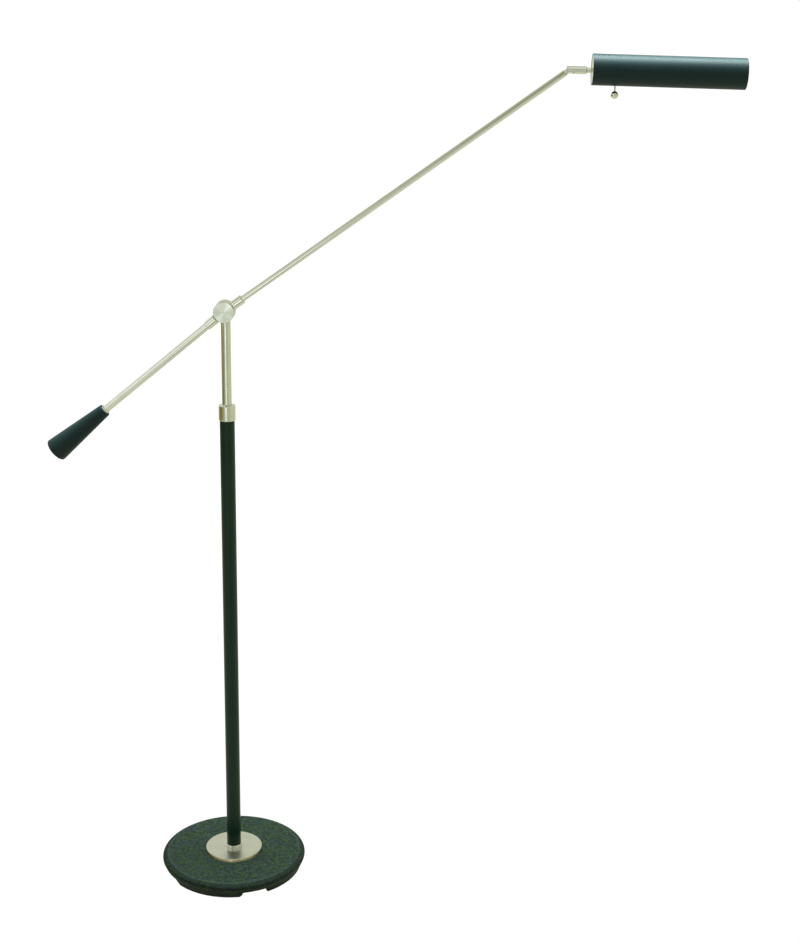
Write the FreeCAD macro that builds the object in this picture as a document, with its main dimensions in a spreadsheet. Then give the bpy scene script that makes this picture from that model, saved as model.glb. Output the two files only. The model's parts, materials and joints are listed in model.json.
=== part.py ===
import FreeCAD, Part
import Sketcher
import math
import os

V = FreeCAD.Vector
ROT = FreeCAD.Rotation
PLC = FreeCAD.Placement

# Counterbalance floor lamp. Millimetres. +Z up, origin on the floor below the pole's axis,
# +X towards the shade, -Y towards the viewer.
doc = FreeCAD.newDocument("floor_lamp")

# ---------------------------------------------------------------- driving dimensions
DIMS = [
    # base
    ("pad_thick", 1.5, "felt floor pad thickness"),
    ("pad_inner_rad", 112.0, "floor pad inner radius"),
    ("pad_outer_rad", 120.4, "floor pad outer radius"),
    ("base_foot_rad", 120.7, "casting radius at the foot of the skirt"),
    ("base_rad", 127.9, "casting radius at its widest, on the lip"),
    ("base_wide_level", 19.0, "height of the widest place"),
    ("base_round", 6.2, "rounding radius of the lip"),
    ("lip_low_rad", 127.3647, "radius where the tapered wall runs into the lip"),
    ("lip_low_level", 16.4797, "height where the tapered wall runs into the lip"),
    ("lip_high_rad", 124.3877, "radius where the lip runs into the bevel"),
    ("lip_high_level", 24.5872, "height where the lip runs into the bevel"),
    ("rim_low_rad", 119.367, "radius where the bevel runs into the rim"),
    ("rim_low_level", 27.0023, "height where the bevel runs into the rim"),
    ("rim_rad", 120.5, "radius of the rim's rounding"),
    ("rim_round", 2.0, "rounding radius of the rim"),
    ("rim_level", 27.2, "height of the top at its rim"),
    ("base_top", 28.5, "height of the casting's top under the plate"),
    ("recess_rad", 110.5, "radius of the hollow below the casting"),
    ("recess_top", 10.0, "ceiling of the hollow"),
    ("nipple_clear_rad", 5.3, "clearance hole for the nipple"),
    ("notch_half_foot", 24.5, "half width of a skirt notch at the floor"),
    ("notch_half_top", 20.5, "half width of a skirt notch at its top"),
    ("notch_top", 9.5, "height of a skirt notch"),
    ("notch_turn", -65.5, "direction of the first pair of notches, degrees"),
    ("notch_apart", -82.5, "second pair of notches from the first, degrees"),
    ("plate_rad", 50.0, "nickel plate radius at its top edge"),
    ("plate_foot_rad", 51.5, "nickel plate radius at its foot, where its sloping side ends"),
    ("plate_thick", 5.5, "nickel plate thickness"),
    ("foot_ring_rad", 14.35, "foot ring radius"),
    ("foot_ring_high", 5.8, "foot ring height"),
    # pole
    ("pole_rad", 12.5, "pole outer radius"),
    ("pole_bore", 11.0, "pole inner radius"),
    ("pole_top", 845.0, "height of the pole's upper end"),
    ("foot_plug_high", 22.0, "length of the plug in the pole's foot"),
    ("nipple_rad", 5.0, "base nipple outer radius"),
    ("nipple_bore", 3.5, "base nipple bore radius"),
    ("nipple_low", 2.6, "lower end of the base nipple"),
    ("nipple_high", 54.0, "upper end of the base nipple"),
    ("washer_rad", 14.0, "base washer radius"),
    ("washer_thick", 1.6, "base washer thickness"),
    ("nut_round", 9.8, "base nut radius over corners"),
    ("nut_thick", 4.4, "base nut thickness"),
    # collar and swivel
    ("collar_rad", 13.95, "collar outer radius"),
    ("collar_low", 832.0, "lower end of the collar"),
    ("collar_top", 858.0, "upper end of the collar"),
    ("swivel_bore", 8.05, "running bore for the post"),
    ("bushing_low", 800.0, "lower end of the swivel bushing"),
    ("seat_low", 776.0, "lower end of the seat plug"),
    ("seat_top", 788.0, "upper end of the seat plug"),
    ("thrust_thick", 1.5, "thrust washer thickness"),
    ("stop_level", 851.5, "height of the post's stop screw"),
    # post
    ("post_rad", 8.0, "post outer radius"),
    ("post_bore", 6.0, "post inner radius"),
    ("post_low", 789.6, "lower end of the post"),
    ("post_top", 999.8, "upper end of the post"),
    ("groove_floor", 6.9, "radius of the stop groove's floor"),
    # pivot
    ("pivot_high", 1018.3, "height of the pivot axis"),
    ("front_rad", 17.25, "front disc radius"),
    ("front_face", -23.5, "front disc outer face, Y"),
    ("front_back", -8.5, "front disc inner face, Y"),
    ("rear_rad", 17.25, "rear disc radius"),
    ("rear_face", -8.1, "rear disc inner face, Y"),
    ("rear_back", 8.2, "rear disc outer face, Y"),
    ("rear_small", 13.0, "rear disc radius at its outer face"),
    ("arm_plane", -16.0, "Y of the plane of both arms"),
    # arms
    ("long_tilt", 35.81, "long arm above the horizontal, degrees"),
    ("short_tilt", 40.1, "short arm below the horizontal, degrees"),
    ("ferrule_rad", 7.75, "ferrule radius"),
    ("ferrule_start", 18.4, "ferrule inner end from the pivot axis"),
    ("ferrule_end", 37.3, "ferrule outer end from the pivot axis"),
    ("stud_rad", 4.0, "ferrule stud radius"),
    ("long_rad", 5.0, "long arm tube radius"),
    ("long_bore", 4.0, "long arm tube bore radius"),
    ("long_hinge", 669.8, "knuckle axis from the pivot axis"),
    ("short_rad", 6.35, "short arm tube radius"),
    ("short_bore", 5.15, "short arm tube bore radius"),
    ("tube_start", 22.0, "inner end of both arm tubes"),
    ("weight_start", 263.3, "counterweight small end from the pivot axis"),
    ("weight_end", 376.2, "counterweight big end from the pivot axis"),
    ("weight_small", 10.8, "counterweight small radius"),
    ("weight_big", 20.6, "counterweight big radius"),
    # head
    ("head_droop", 0.75, "head axis below the horizontal, degrees"),
    ("barrel_rad", 6.0, "knuckle barrel radius"),
    ("barrel_back", 3.9, "barrel behind the knuckle axis"),
    ("barrel_end", 26.3, "barrel end ahead of the knuckle axis"),
    ("neck_rad", 4.1, "neck radius"),
    ("neck_core", 3.5, "neck thread radius"),
    ("neck_below", 1.65, "neck axis below the shade's axis"),
    ("shade_start", 34.9, "shade's inner end from the knuckle axis"),
    ("shade_end", 272.5, "shade's outer end from the knuckle axis"),
    ("shade_rad", 24.0, "shade outer radius"),
    ("shade_bore", 23.1, "shade inner radius"),
    ("slot_start", 98.0, "light slot start"),
    ("slot_end", 262.0, "light slot end"),
    ("slot_turn", 42.0, "light slot middle behind straight down, degrees"),
    ("slot_half", 42.0, "light slot half angle, degrees"),
    ("bulb_rad", 14.3, "bulb radius"),
    ("knob_at", 71.9, "switch spindle from the knuckle axis"),
    ("knob_drop", 37.55, "ball centre below the shade's axis"),
    ("ball_rad", 6.1, "ball knob radius"),
    ("spindle_rad", 1.45, "switch spindle radius"),
]
dims = doc.addObject("Spreadsheet::Sheet", "dims")
D = {}
for i, (alias, value, note) in enumerate(DIMS):
    row = i + 1
    dims.set("A%d" % row, note)
    dims.set("B%d" % row, str(value))
    dims.setAlias("B%d" % row, alias)
doc.recompute()
for alias, value, note in DIMS:
    D[alias] = float(dims.get(alias))


class Q:
    """A size as a sum of sheet cells and plain numbers: its value and its expression text."""

    def __init__(self, *terms):
        self.terms = [(1.0, t) if isinstance(t, str) else (t if isinstance(t, tuple) else (1.0, float(t))) for t in terms]

    def val(self):
        return sum(k * (D[t] if isinstance(t, str) else t) for k, t in self.terms)

    def text(self, sign=1.0):
        out = ""
        for k, t in self.terms:
            k = k * sign
            if isinstance(t, str):
                piece = ("dims." + t) if abs(k) == 1.0 else ("%.6g * dims.%s" % (abs(k), t))
            else:
                piece = "%.6g" % abs(k * t)
                k = k * t
            if abs(k) < 1e-12:
                continue
            out += (" - " if k < 0 else (" + " if out else "")) + piece
        return out.strip() or "0"


def q(x):
    return x if isinstance(x, Q) else (Q(*x) if isinstance(x, list) else Q(x))


NODES = {}


def node(obj, label):
    obj.Label = label
    NODES[label] = obj
    return obj


def plane(body, role):
    return [o for o in body.Origin.OriginFeatures if o.Role == role][0]


def polyline_sketch(body, name, role, pts, arcs=None):
    """A closed outline on an origin plane. Every corner is held by two driven distances from the origin.
    arcs maps the index of an edge to the centre of its quarter-round."""
    sk = body.newObject("Sketcher::SketchObject", name)
    sk.AttachmentSupport = (plane(body, role), [""])
    sk.MapMode = "FlatFace"
    pts = [(q(a), q(b)) for a, b in pts]
    arcs = arcs or {}
    n = len(pts)
    num = [V(a.val(), b.val(), 0) for a, b in pts]
    ids = []
    for i in range(n):
        p0, p1 = num[i], num[(i + 1) % n]
        if i in arcs:
            c = V(q(arcs[i][0]).val(), q(arcs[i][1]).val(), 0)
            r = (p0 - c).Length
            a0 = math.atan2(p0.y - c.y, p0.x - c.x)
            a1 = math.atan2(p1.y - c.y, p1.x - c.x)
            turn = (a1 - a0 + math.pi) % (2 * math.pi) - math.pi
            circ = Part.Circle(c, V(0, 0, 1), r)
            if turn > 0:
                gid = sk.addGeometry(Part.ArcOfCircle(circ, a0, a0 + turn), False)
                ids.append((gid, 1, 2, True))
            else:
                gid = sk.addGeometry(Part.ArcOfCircle(circ, a1, a1 - turn), False)
                ids.append((gid, 2, 1, True))
        else:
            gid = sk.addGeometry(Part.LineSegment(p0, p1), False)
            ids.append((gid, 1, 2, False))
    for i in range(n):
        g0, s0, e0, arc0 = ids[i]
        g1, s1, e1, arc1 = ids[(i + 1) % n]
        sk.addConstraint(Sketcher.Constraint("Coincident", g0, e0, g1, s1))
    names = []
    for i in range(n):
        g, s, e, is_arc = ids[i]
        for kind, expr in (("DistanceX", pts[i][0]), ("DistanceY", pts[i][1])):
            v = expr.val()
            if abs(v) < 1e-9:
                sk.addConstraint(Sketcher.Constraint("PointOnObject", g, s, -2 if kind == "DistanceX" else -1))
            elif v > 0:
                k = sk.addConstraint(Sketcher.Constraint(kind, -1, 1, g, s, v))
                names.append((k, expr.text(1.0)))
            else:
                k = sk.addConstraint(Sketcher.Constraint(kind, g, s, -1, 1, -v))
                names.append((k, expr.text(-1.0)))
    for i in arcs:
        g = ids[i][0]
        r = (num[i] - V(q(arcs[i][0]).val(), q(arcs[i][1]).val(), 0)).Length
        k = sk.addConstraint(Sketcher.Constraint("Radius", g, r))
        if len(arcs[i]) > 2:
            names.append((k, q(arcs[i][2]).text()))
    for j, (k, text) in enumerate(names):
        sk.renameConstraint(k, "s%d" % j)
        sk.setExpression("Constraints.s%d" % j, text)
    return sk


def turned(label, pts, axis="V", arcs=None, keep=True):
    """A turned piece: an outline in the XZ plane, revolved about Z (V) or X (H)."""
    body = doc.addObject("PartDesign::Body", label)
    body.Label = label + "_blank"
    sk = polyline_sketch(body, label + "_outline", "XZ_Plane", pts, arcs)
    rev = body.newObject("PartDesign::Revolution", label + "_turn")
    rev.Profile = sk
    rev.ReferenceAxis = (sk, [axis + "_Axis"])
    rev.Angle = 360.0
    sk.Visibility = False
    doc.recompute()
    if keep:
        node(body, label)
    return body


def tube(label, r_out, r_in, a, b, axis="V", keep=True):
    if axis == "V":
        pts = [(r_in, a), (r_out, a), (r_out, b), (r_in, b)]
    else:
        pts = [(a, r_in), (b, r_in), (b, r_out), (a, r_out)]
    return turned(label, pts, axis, keep=keep)


def cyl(name, radius, height, at, axis):
    c = doc.addObject("Part::Cylinder", name)
    c.setExpression("Radius", q(radius).text())
    c.setExpression("Height", q(height).text())
    c.Placement = PLC(V(*[q(x).val() for x in at]), ROT(V(0, 0, 1), V(*axis)))
    return c


def box(name, sx, sy, sz, at, turn=None):
    b = doc.addObject("Part::Box", name)
    b.setExpression("Length", q(sx).text())
    b.setExpression("Width", q(sy).text())
    b.setExpression("Height", q(sz).text())
    b.Placement = PLC(V(*[q(x).val() for x in at]), turn or ROT())
    return b


def hexagon(name, corner, height, at, axis):
    p = doc.addObject("Part::Prism", name)
    p.Polygon = 6
    p.setExpression("Circumradius", q(corner).text())
    p.setExpression("Height", q(height).text())
    p.Placement = PLC(V(*[q(x).val() for x in at]), ROT(V(0, 0, 1), V(*axis)))
    return p


def fused(name, parts):
    f = doc.addObject("Part::MultiFuse", name)
    f.Shapes = parts
    return f


def cut(label, base, tools, keep=True):
    c = doc.addObject("Part::Cut", label + "_cut")
    c.Base = base
    c.Tool = tools[0] if len(tools) == 1 else fused(label + "_tools", tools)
    c.Label = label + "_cut"
    if keep:
        node(c, label)
    return c


def common(label, a, b, keep=True):
    c = doc.addObject("Part::Common", label + "_common")
    c.Base = a
    c.Tool = b
    if keep:
        node(c, label)
    return c


# ================================================================ base
# The casting: a wall that widens upwards to a well rounded lip, a bevel up to the rim, a very slightly conical top,
# a hollow below, and four notches in the skirt, in two pairs.
body = turned(
    "base_casting",
    [
        ("recess_rad", "pad_thick"), ("base_foot_rad", "pad_thick"), ("lip_low_rad", "lip_low_level"),
        ("lip_high_rad", "lip_high_level"), ("rim_low_rad", "rim_low_level"),
        (["rim_rad", (-1.0, "rim_round")], "rim_level"), ("plate_foot_rad", "base_top"), ("nipple_clear_rad", "base_top"),
        ("nipple_clear_rad", "recess_top"), ("recess_rad", "recess_top"),
    ],
    arcs={
        2: (["base_rad", (-1.0, "base_round")], "base_wide_level", "base_round"),
        4: (["rim_rad", (-1.0, "rim_round")], ["rim_level", (-1.0, "rim_round")], "rim_round"),
    },
)
for pair, turn in (("first", 0.0), ("second", D["notch_apart"])):
    before = body.Shape.Volume
    sk = polyline_sketch(
        body, "notch_outline_" + pair, "YZ_Plane",
        [([(-1.0, "notch_half_foot")], -1.0), ("notch_half_foot", -1.0), ("notch_half_top", "notch_top"), ([(-1.0, "notch_half_top")], "notch_top")],
    )
    sk.AttachmentOffset = PLC(V(0, 0, 0), ROT(V(0, 1, 0), turn))
    pocket = body.newObject("PartDesign::Pocket", "notch_" + pair)
    pocket.Profile = sk
    pocket.Length = 140.0
    doc.recompute()
    if body.Shape.Volume > before - 100.0:
        pocket.Reversed = True
        doc.recompute()
    one = before - body.Shape.Volume
    if one < 1000.0:
        raise RuntimeError("the notch cuts nothing: %.1f" % one)
    pattern = body.newObject("PartDesign::PolarPattern", "notches_" + pair)
    pattern.Originals = [pocket]
    pattern.Axis = (plane(body, "Z_Axis"), [""])
    pattern.Angle = 360.0
    pattern.Occurrences = 2
    body.Tip = pattern
    doc.recompute()
    if abs((before - body.Shape.Volume) - 2 * one) > 50.0:
        raise RuntimeError("the notch pattern is wrong: %.1f against %.1f" % (before - body.Shape.Volume, 2 * one))
    sk.Visibility = False
body.Placement = PLC(V(0, 0, 0), ROT(V(0, 0, 1), D["notch_turn"]))

# Felt pads under the four feet of the skirt.
ring = tube("pad_ring", "pad_outer_rad", "pad_inner_rad", 0, "pad_thick", keep=False)
gaps = []
for i in range(4):
    a = D["notch_turn"] + (D["notch_apart"] if i % 2 else 0.0) + 180.0 * (i // 2)
    gaps.append(box("pad_gap%d" % i, 150, 50, 4, (0, 0, 0), None))
    gaps[-1].Placement = PLC(ROT(V(0, 0, 1), a).multVec(V(0, -25, -1)), ROT(V(0, 0, 1), a))
cut("floor_pads", ring, gaps)

turned(
    "base_plate",
    [
        ("nipple_clear_rad", "base_top"), ("plate_foot_rad", "base_top"), ("plate_rad", ["base_top", "plate_thick", -0.5]),
        (["plate_rad", -0.5], ["base_top", "plate_thick"]), ("nipple_clear_rad", ["base_top", "plate_thick"]),
    ],
)
P_TOP = ["base_top", "plate_thick"]
turned(
    "foot_ring",
    [
        ("pole_rad", P_TOP), ("foot_ring_rad", P_TOP), ("foot_ring_rad", P_TOP + ["foot_ring_high", -1.3]),
        (["foot_ring_rad", -1.1], P_TOP + ["foot_ring_high"]), ("pole_rad", P_TOP + ["foot_ring_high"]),
    ],
)

# ================================================================ pole
tube("pole_tube", "pole_rad", "pole_bore", P_TOP, "pole_top")
tube("pole_foot_plug", "pole_bore", "nipple_rad", P_TOP, P_TOP + ["foot_plug_high"])
tube("base_nipple", "nipple_rad", "nipple_bore", "nipple_low", "nipple_high")
tube("base_washer", "washer_rad", "nipple_rad", ["recess_top", (-1.0, "washer_thick")], "recess_top")
nut_low = ["recess_top", (-1.0, "washer_thick"), (-1.0, "nut_thick")]
cut(
    "base_nut",
    hexagon("base_nut_hex", "nut_round", "nut_thick", (0, 0, q(nut_low).val()), (0, 0, 1)),
    [cyl("base_nut_bore", "nipple_rad", ["nut_thick", 2], (0, 0, q(nut_low).val() - 1), (0, 0, 1))],
)
turned(
    "cord_grommet",
    [
        (2.3, ["nipple_low", -0.9]), ("nipple_rad", ["nipple_low", -0.9]), ("nipple_rad", "nipple_low"), ("nipple_bore", "nipple_low"),
        ("nipple_bore", ["nipple_low", 6.0]), (2.3, ["nipple_low", 6.0]),
    ],
)

# ================================================================ collar and what the post turns on
blank = turned(
    "pole_collar",
    [
        ("pole_rad", "collar_low"), (["collar_rad", -0.9], "collar_low"), ("collar_rad", ["collar_low", 0.9]),
        ("collar_rad", ["collar_top", -1.3]), (["collar_rad", -1.3], "collar_top"),
        ("swivel_bore", "collar_top"), ("swivel_bore", "pole_top"), ("pole_rad", "pole_top"),
    ],
    keep=False,
)
cut("pole_collar", blank, [cyl("stop_screw_hole", 2.0, 12, (0, 5, "stop_level"), (0, 1, 0))])
screw = cyl("stop_screw_body", 2.0, 5.4, (0, 8.3, "stop_level"), (0, 1, 0))
nose = cyl("stop_screw_nose", 1.5, 1.3, (0, 7.1, "stop_level"), (0, 1, 0))
cut("post_stop_screw", fused("stop_screw_fused", [screw, nose]), [hexagon("stop_screw_socket", 1.15, 3, (0, 12.0, "stop_level"), (0, 1, 0))])
tube("swivel_bushing", "pole_bore", "swivel_bore", "bushing_low", "pole_top")
tube("pole_seat_plug", "pole_bore", 4.0, "seat_low", "seat_top")
tube("thrust_washer", "post_rad", 4.0, "seat_top", ["seat_top", "thrust_thick"])

# ================================================================ post
blank = tube("post_tube", "post_rad", "post_bore", "post_low", "post_top", keep=False)
groove = tube("stop_groove", 9.0, "groove_floor", ["stop_level", -1.7], ["stop_level", 1.7], keep=False)
key = box("stop_key", 1.4, 6.0, 8.0, (-0.7, -12.0, D["stop_level"] - 4.0))
arc = cut("stop_groove_arc", groove, [key], keep=False)
cut("post_tube", blank, [arc])
turned(
    "post_nipple",
    [
        (3.0, ["post_top", -18]), ("post_bore", ["post_top", -18]), ("post_bore", "post_top"), (5.0, "post_top"),
        (5.0, ["post_top", 6.5]), (3.0, ["post_top", 6.5]),
    ],
)

# ================================================================ pivot
# Rear disc, fixed on the post. Turned about the pivot axis, which runs along Y: made along X and turned.
PIV = PLC(V(0, 0, D["pivot_high"]), ROT(V(0, 0, 1), 90))  # local +X becomes +Y


def at_pivot(angle, radius):
    """A point of the pivot's face plane: angle from +X towards +Z, seen from the viewer."""
    a = math.radians(angle)
    return V(radius * math.cos(a), 0, D["pivot_high"] + radius * math.sin(a))


rear = turned(
    "rear_blank",
    [
        ("rear_face", 3.05), ("rear_face", 5.2), (["rear_face", 5.0], 5.2), (["rear_face", 5.0], 9.0),
        ("rear_face", 9.0), ("rear_face", 9.6), (["rear_face", 0.5], 9.6), (["rear_face", 0.5], 14.6), ("rear_face", 14.6),
        ("rear_face", ["rear_rad", -0.5]), (["rear_face", 0.5], "rear_rad"), (["rear_face", 9.7], "rear_rad"), (["rear_back", -1.2], "rear_small"), ("rear_back", ["rear_small", -1.2]),
        ("rear_back", 6.2), (["rear_back", -5.2], 6.2), (["rear_back", -5.2], 3.05),
    ],
    axis="H", keep=False,
)
rear.Placement = PIV
boss = common(
    "rear_boss_trimmed",
    cyl("rear_boss", "post_rad", 10.0, (0, 0, "post_top"), (0, 0, 1)),
    box("rear_boss_side", 40, 40, 40, (-20, "rear_face", 990)),
    keep=False,
)
boss_outer = cut("rear_boss_ring", boss, [cyl("rear_boss_core", ["rear_small", -2.5], 40, (0, -20, "pivot_high"), (0, 1, 0))], keep=False)
rear_full = fused("rear_full", [rear, boss_outer])
STOP_AT = 50.0
pin_seat = at_pivot(STOP_AT, 7.1)
recess = tube("washer_recess", 14.6, 9.6, ["rear_face", -2.0], ["rear_face", 0.5], axis="H", keep=False)
recess.Placement = PIV
cut(
    "pivot_rear_disc", rear_full,
    [
        cyl("rear_stud_hole", 5.0, 7.5, (0, 0, ["post_top", -1.0]), (0, 0, 1)),
        cyl("rear_wire_hole", 3.0, 12.0, (0, 0, ["post_top", -0.5]), (0, 0, 1)),
        recess,
        cyl("rear_pin_hole", 1.5, 5.0, (pin_seat.x, q(["rear_face", 4.5]).val(), pin_seat.z), (0, 1, 0)),
    ],
)
cyl_pin = cyl("pivot_stop_pin", 1.5, 14.6, (pin_seat.x, q(["rear_face", 9.0]).val() - 14.6, pin_seat.z), (0, 1, 0))
node(cyl_pin, "pivot_stop_pin")
fw = tube("friction_washer", 14.5, 9.7, ["front_back", 0.05], ["rear_face", 0.5], axis="H")
fw.Placement = PIV

# Front disc, fixed to the arms: a turned face with a fine centre mark, a blind hole for the bolt, a stop slot.
front = turned(
    "front_blank",
    [
        ("front_face", 0.9), ("front_face", ["front_rad", -0.8]), (["front_face", 0.8], "front_rad"), (["front_back", -0.5], "front_rad"),
        ("front_back", ["front_rad", -0.5]), ("front_back", 3.0), (["front_back", -9.5], 3.0), (["front_back", -9.5], 0),
        (["front_face", 0.8], 0),
    ],
    axis="H", keep=False,
)
front.Placement = PIV
slot_ring = tube("stop_slot_ring", 9.0, 5.2, ["front_back", -6.8], ["front_back", 1.0], axis="H", keep=False)
slot_ring.Placement = PIV
SLOT_FROM, SLOT_TO = STOP_AT - 55.0, STOP_AT + 83.5
wedge = Part.makePolygon(
    [V(0, 0, 0)] + [V(30 * math.cos(math.radians(a)), 0, 30 * math.sin(math.radians(a))) for a in [SLOT_FROM + (SLOT_TO - SLOT_FROM) * k / 4.0 for k in range(5)]] + [V(0, 0, 0)]
)
wedge_obj = doc.addObject("Part::Feature", "stop_slot_sector")
wedge_obj.Shape = Part.Face(wedge).extrude(V(0, 20, 0))
wedge_obj.Placement = PLC(V(0, -20, D["pivot_high"]), ROT())
stop_slot = common("stop_slot", slot_ring, wedge_obj, keep=False)


def arm_dir(angle):
    a = math.radians(angle)
    return (math.cos(a), 0, math.sin(a))


def on_arm(angle, s):
    d = arm_dir(angle)
    return (d[0] * s, D["arm_plane"], D["pivot_high"] + d[2] * s)


LONG_A = D["long_tilt"]
SHORT_A = 180.0 + D["short_tilt"]
cut(
    "pivot_front_disc", front,
    [
        stop_slot,
        cyl("long_stud_hole", "stud_rad", 12, on_arm(LONG_A, 10.5), arm_dir(LONG_A)),
        cyl("short_stud_hole", "stud_rad", 12, on_arm(SHORT_A, 10.5), arm_dir(SHORT_A)),
        cyl("long_wire_hole", 2.6, 12, on_arm(LONG_A, 6.0), arm_dir(LONG_A)),
    ],
)
bolt = turned(
    "pivot_bolt",
    [
        (["front_back", -9.0], 0), (["rear_back", -0.6], 0), (["rear_back", -0.6], 4.6), (["rear_back", -1.0], 5.0),
        (["rear_back", -3.9], 5.0), (["rear_back", -3.9], 3.0), (["front_back", -9.0], 3.0),
    ],
    axis="H", keep=False,
)
bolt.Placement = PIV
cut("pivot_bolt", bolt, [hexagon("bolt_socket", 2.9, 4.0, (0, D["rear_back"] - 2.6, D["pivot_high"]), (0, 1, 0))])
cone = turned(
    "pivot_spring_washer",
    [
        (["rear_back", -5.15], 4.9), (["rear_back", -5.15], 5.8), (["rear_back", -4.6], 5.8), (["rear_back", -3.9], 3.9), (["rear_back", -3.9], 3.2), (["rear_back", -4.45], 3.2),
    ],
    axis="H",
)
cone.Placement = PIV

# ================================================================ arms, made along +X from the pivot axis
LONG = PLC(V(0, D["arm_plane"], D["pivot_high"]), ROT(V(0, 1, 0), -LONG_A))
SHORT = PLC(V(0, D["arm_plane"], D["pivot_high"]), ROT(V(0, 1, 0), -SHORT_A))


def ferrule(label, tube_rad, wire):
    b = turned(
        label,
        [
            (10.5, wire), (10.5, "stud_rad"), ("ferrule_start", "stud_rad"), ("ferrule_start", ["ferrule_rad", -0.5]),
            (["ferrule_start", 0.5], "ferrule_rad"), (["ferrule_end", -0.7], "ferrule_rad"), ("ferrule_end", ["ferrule_rad", -0.7]),
            ("ferrule_end", tube_rad), ("tube_start", tube_rad), ("tube_start", wire),
        ],
        axis="H",
    )
    return b


ferrule("long_ferrule", "long_rad", 2.6).Placement = LONG
ferrule("short_ferrule", "short_rad", 2.6).Placement = SHORT
tube("long_arm_tube", "long_rad", "long_bore", "tube_start", ["long_hinge", -8.4], axis="H").Placement = LONG
tube("short_arm_tube", "short_rad", "short_bore", "tube_start", ["weight_start", 40.0], axis="H").Placement = SHORT

w_slope = (D["weight_big"] - D["weight_small"]) / (D["weight_end"] - D["weight_start"])
blank = turned(
    "weight_blank",
    [
        ("weight_start", "short_rad"), ("weight_start", ["weight_small", -0.8]), (["weight_start", 0.8], "weight_small"),
        (["weight_end", -3.2], ["weight_big", -0.2]), (["weight_end", -1.4], ["weight_big", -0.75]), (["weight_end", -0.3], ["weight_big", -2.2]),
        ("weight_end", ["weight_big", -4.0]), ("weight_end", 0), (["weight_start", 40.0], 0), (["weight_start", 40.0], "short_rad"),
    ],
    axis="H", keep=False,
)
wcut = cut("counterweight", blank, [cyl("weight_screw_hole", 2.0, 20, (D["weight_start"] + 22, 4.0, 0), (0, 1, 0))])
wcut.Placement = SHORT
ws = cut(
    "weight_set_screw", cyl("weight_screw_body", 2.0, 4.6, (D["weight_start"] + 22, D["short_rad"] + 0.15, 0), (0, 1, 0)),
    [hexagon("weight_screw_socket", 1.15, 3, (D["weight_start"] + 22, D["short_rad"] + 3.0, 0), (0, 1, 0))],
)
ws.Placement = SHORT
turned(
    "weight_ring",
    [
        (["weight_start", -2.6], "short_rad"), (["weight_start", -2.6], ["short_rad", 0.8]), (["weight_start", -2.0], ["short_rad", 1.4]),
        ("weight_start", ["short_rad", 1.4]), ("weight_start", "short_rad"),
    ],
    axis="H",
).Placement = SHORT

# The tongue: a plug in the arm's end with a rounded blade that sits in the barrel's slot.
plug = turned(
    "tongue_plug",
    [
        (["long_hinge", -30.0], 1.6), (["long_hinge", -30.0], "long_bore"), (["long_hinge", -8.4], "long_bore"), (["long_hinge", -8.4], "long_rad"),
        (["long_hinge", -7.7], ["long_rad", -0.4]), (["long_hinge", -7.7], 1.6),
    ],
    axis="H", keep=False,
)
blade = box("tongue_blade", 8.4, 4.4, 8.0, (["long_hinge", -8.4], -2.2, -4.0))
nose_r = cyl("tongue_nose", 4.0, 4.4, (D["long_hinge"], -2.2, 0), (0, 1, 0))
tongue = cut(
    "arm_tongue", fused("tongue_fused", [plug, blade, nose_r]),
    [cyl("tongue_pin_hole", 1.55, 10, (D["long_hinge"], -5, 0), (0, 1, 0)), cyl("tongue_wire", 1.2, 25, (D["long_hinge"] - 30.0, 0, 0), (1, 0, 0))],
)
tongue.Placement = LONG

# ================================================================ head, made along +X from the knuckle axis
hd = arm_dir(LONG_A)
HEAD = PLC(V(hd[0] * D["long_hinge"], D["arm_plane"], D["pivot_high"] + hd[2] * D["long_hinge"]), ROT(V(0, 1, 0), D["head_droop"]))
blank = turned(
    "barrel_blank",
    [
        ([(-1.0, "barrel_back")], 0), ([(-1.0, "barrel_back")], ["barrel_rad", -0.6]), ([(-1.0, "barrel_back"), 0.6], "barrel_rad"),
        (["barrel_end", -1.0], "barrel_rad"), ("barrel_end", ["barrel_rad", -0.9]), ("barrel_end", "neck_core"), (5.2, "neck_core"), (5.2, 2.0), (0, 2.0), (0, 0),
    ],
    axis="H", keep=False,
)
g = math.radians(48.0)
gdir = (0, -math.cos(g), -math.sin(g))
barrel = cut(
    "knuckle_barrel", blank,
    [
        box("barrel_slot", 9.6, 5.0, 20.0, (-5.0, -2.5, -10.0)),
        cyl("barrel_pin_hole", 1.5, 20, (0, -10, 0), (0, 1, 0)),
        cyl("barrel_grub_hole", 1.25, 8, (6.6, 0, 0), gdir),
    ],
)
barrel.Placement = HEAD
pin = cyl("knuckle_pin", 1.5, 11.5, (0, -5.75, 0), (0, 1, 0))
node(pin, "knuckle_pin").Placement = HEAD.multiply(pin.Placement)
grub = cut(
    "knuckle_grub_screw",
    cyl("grub_body", 1.25, 2.0, (6.6, 3.51 * gdir[1], 3.51 * gdir[2]), gdir),
    [hexagon("grub_socket", 0.75, 2.0, (6.6, 4.3 * gdir[1], 4.3 * gdir[2]), gdir)],
)
grub.Placement = HEAD
turned(
    "shade_neck",
    [
        (5.2, 2.0), (5.2, "neck_core"), ("barrel_end", "neck_core"), ("barrel_end", ["neck_rad", 0.5]), (["barrel_end", 1.2], "neck_rad"),
        (["shade_start", 0.1], "neck_rad"), (["shade_start", 0.1], "neck_core"), (["shade_start", 8.6], "neck_core"), (["shade_start", 8.6], 2.0),
    ],
    axis="H",
).Placement = HEAD
turned(
    "neck_spring_washer",
    [
        (["shade_start", 1.95], 3.6), (["shade_start", 2.35], 3.6), (["shade_start", 2.95], 7.6), (["shade_start", 2.55], 7.6),
    ],
    axis="H",
).Placement = HEAD
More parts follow.
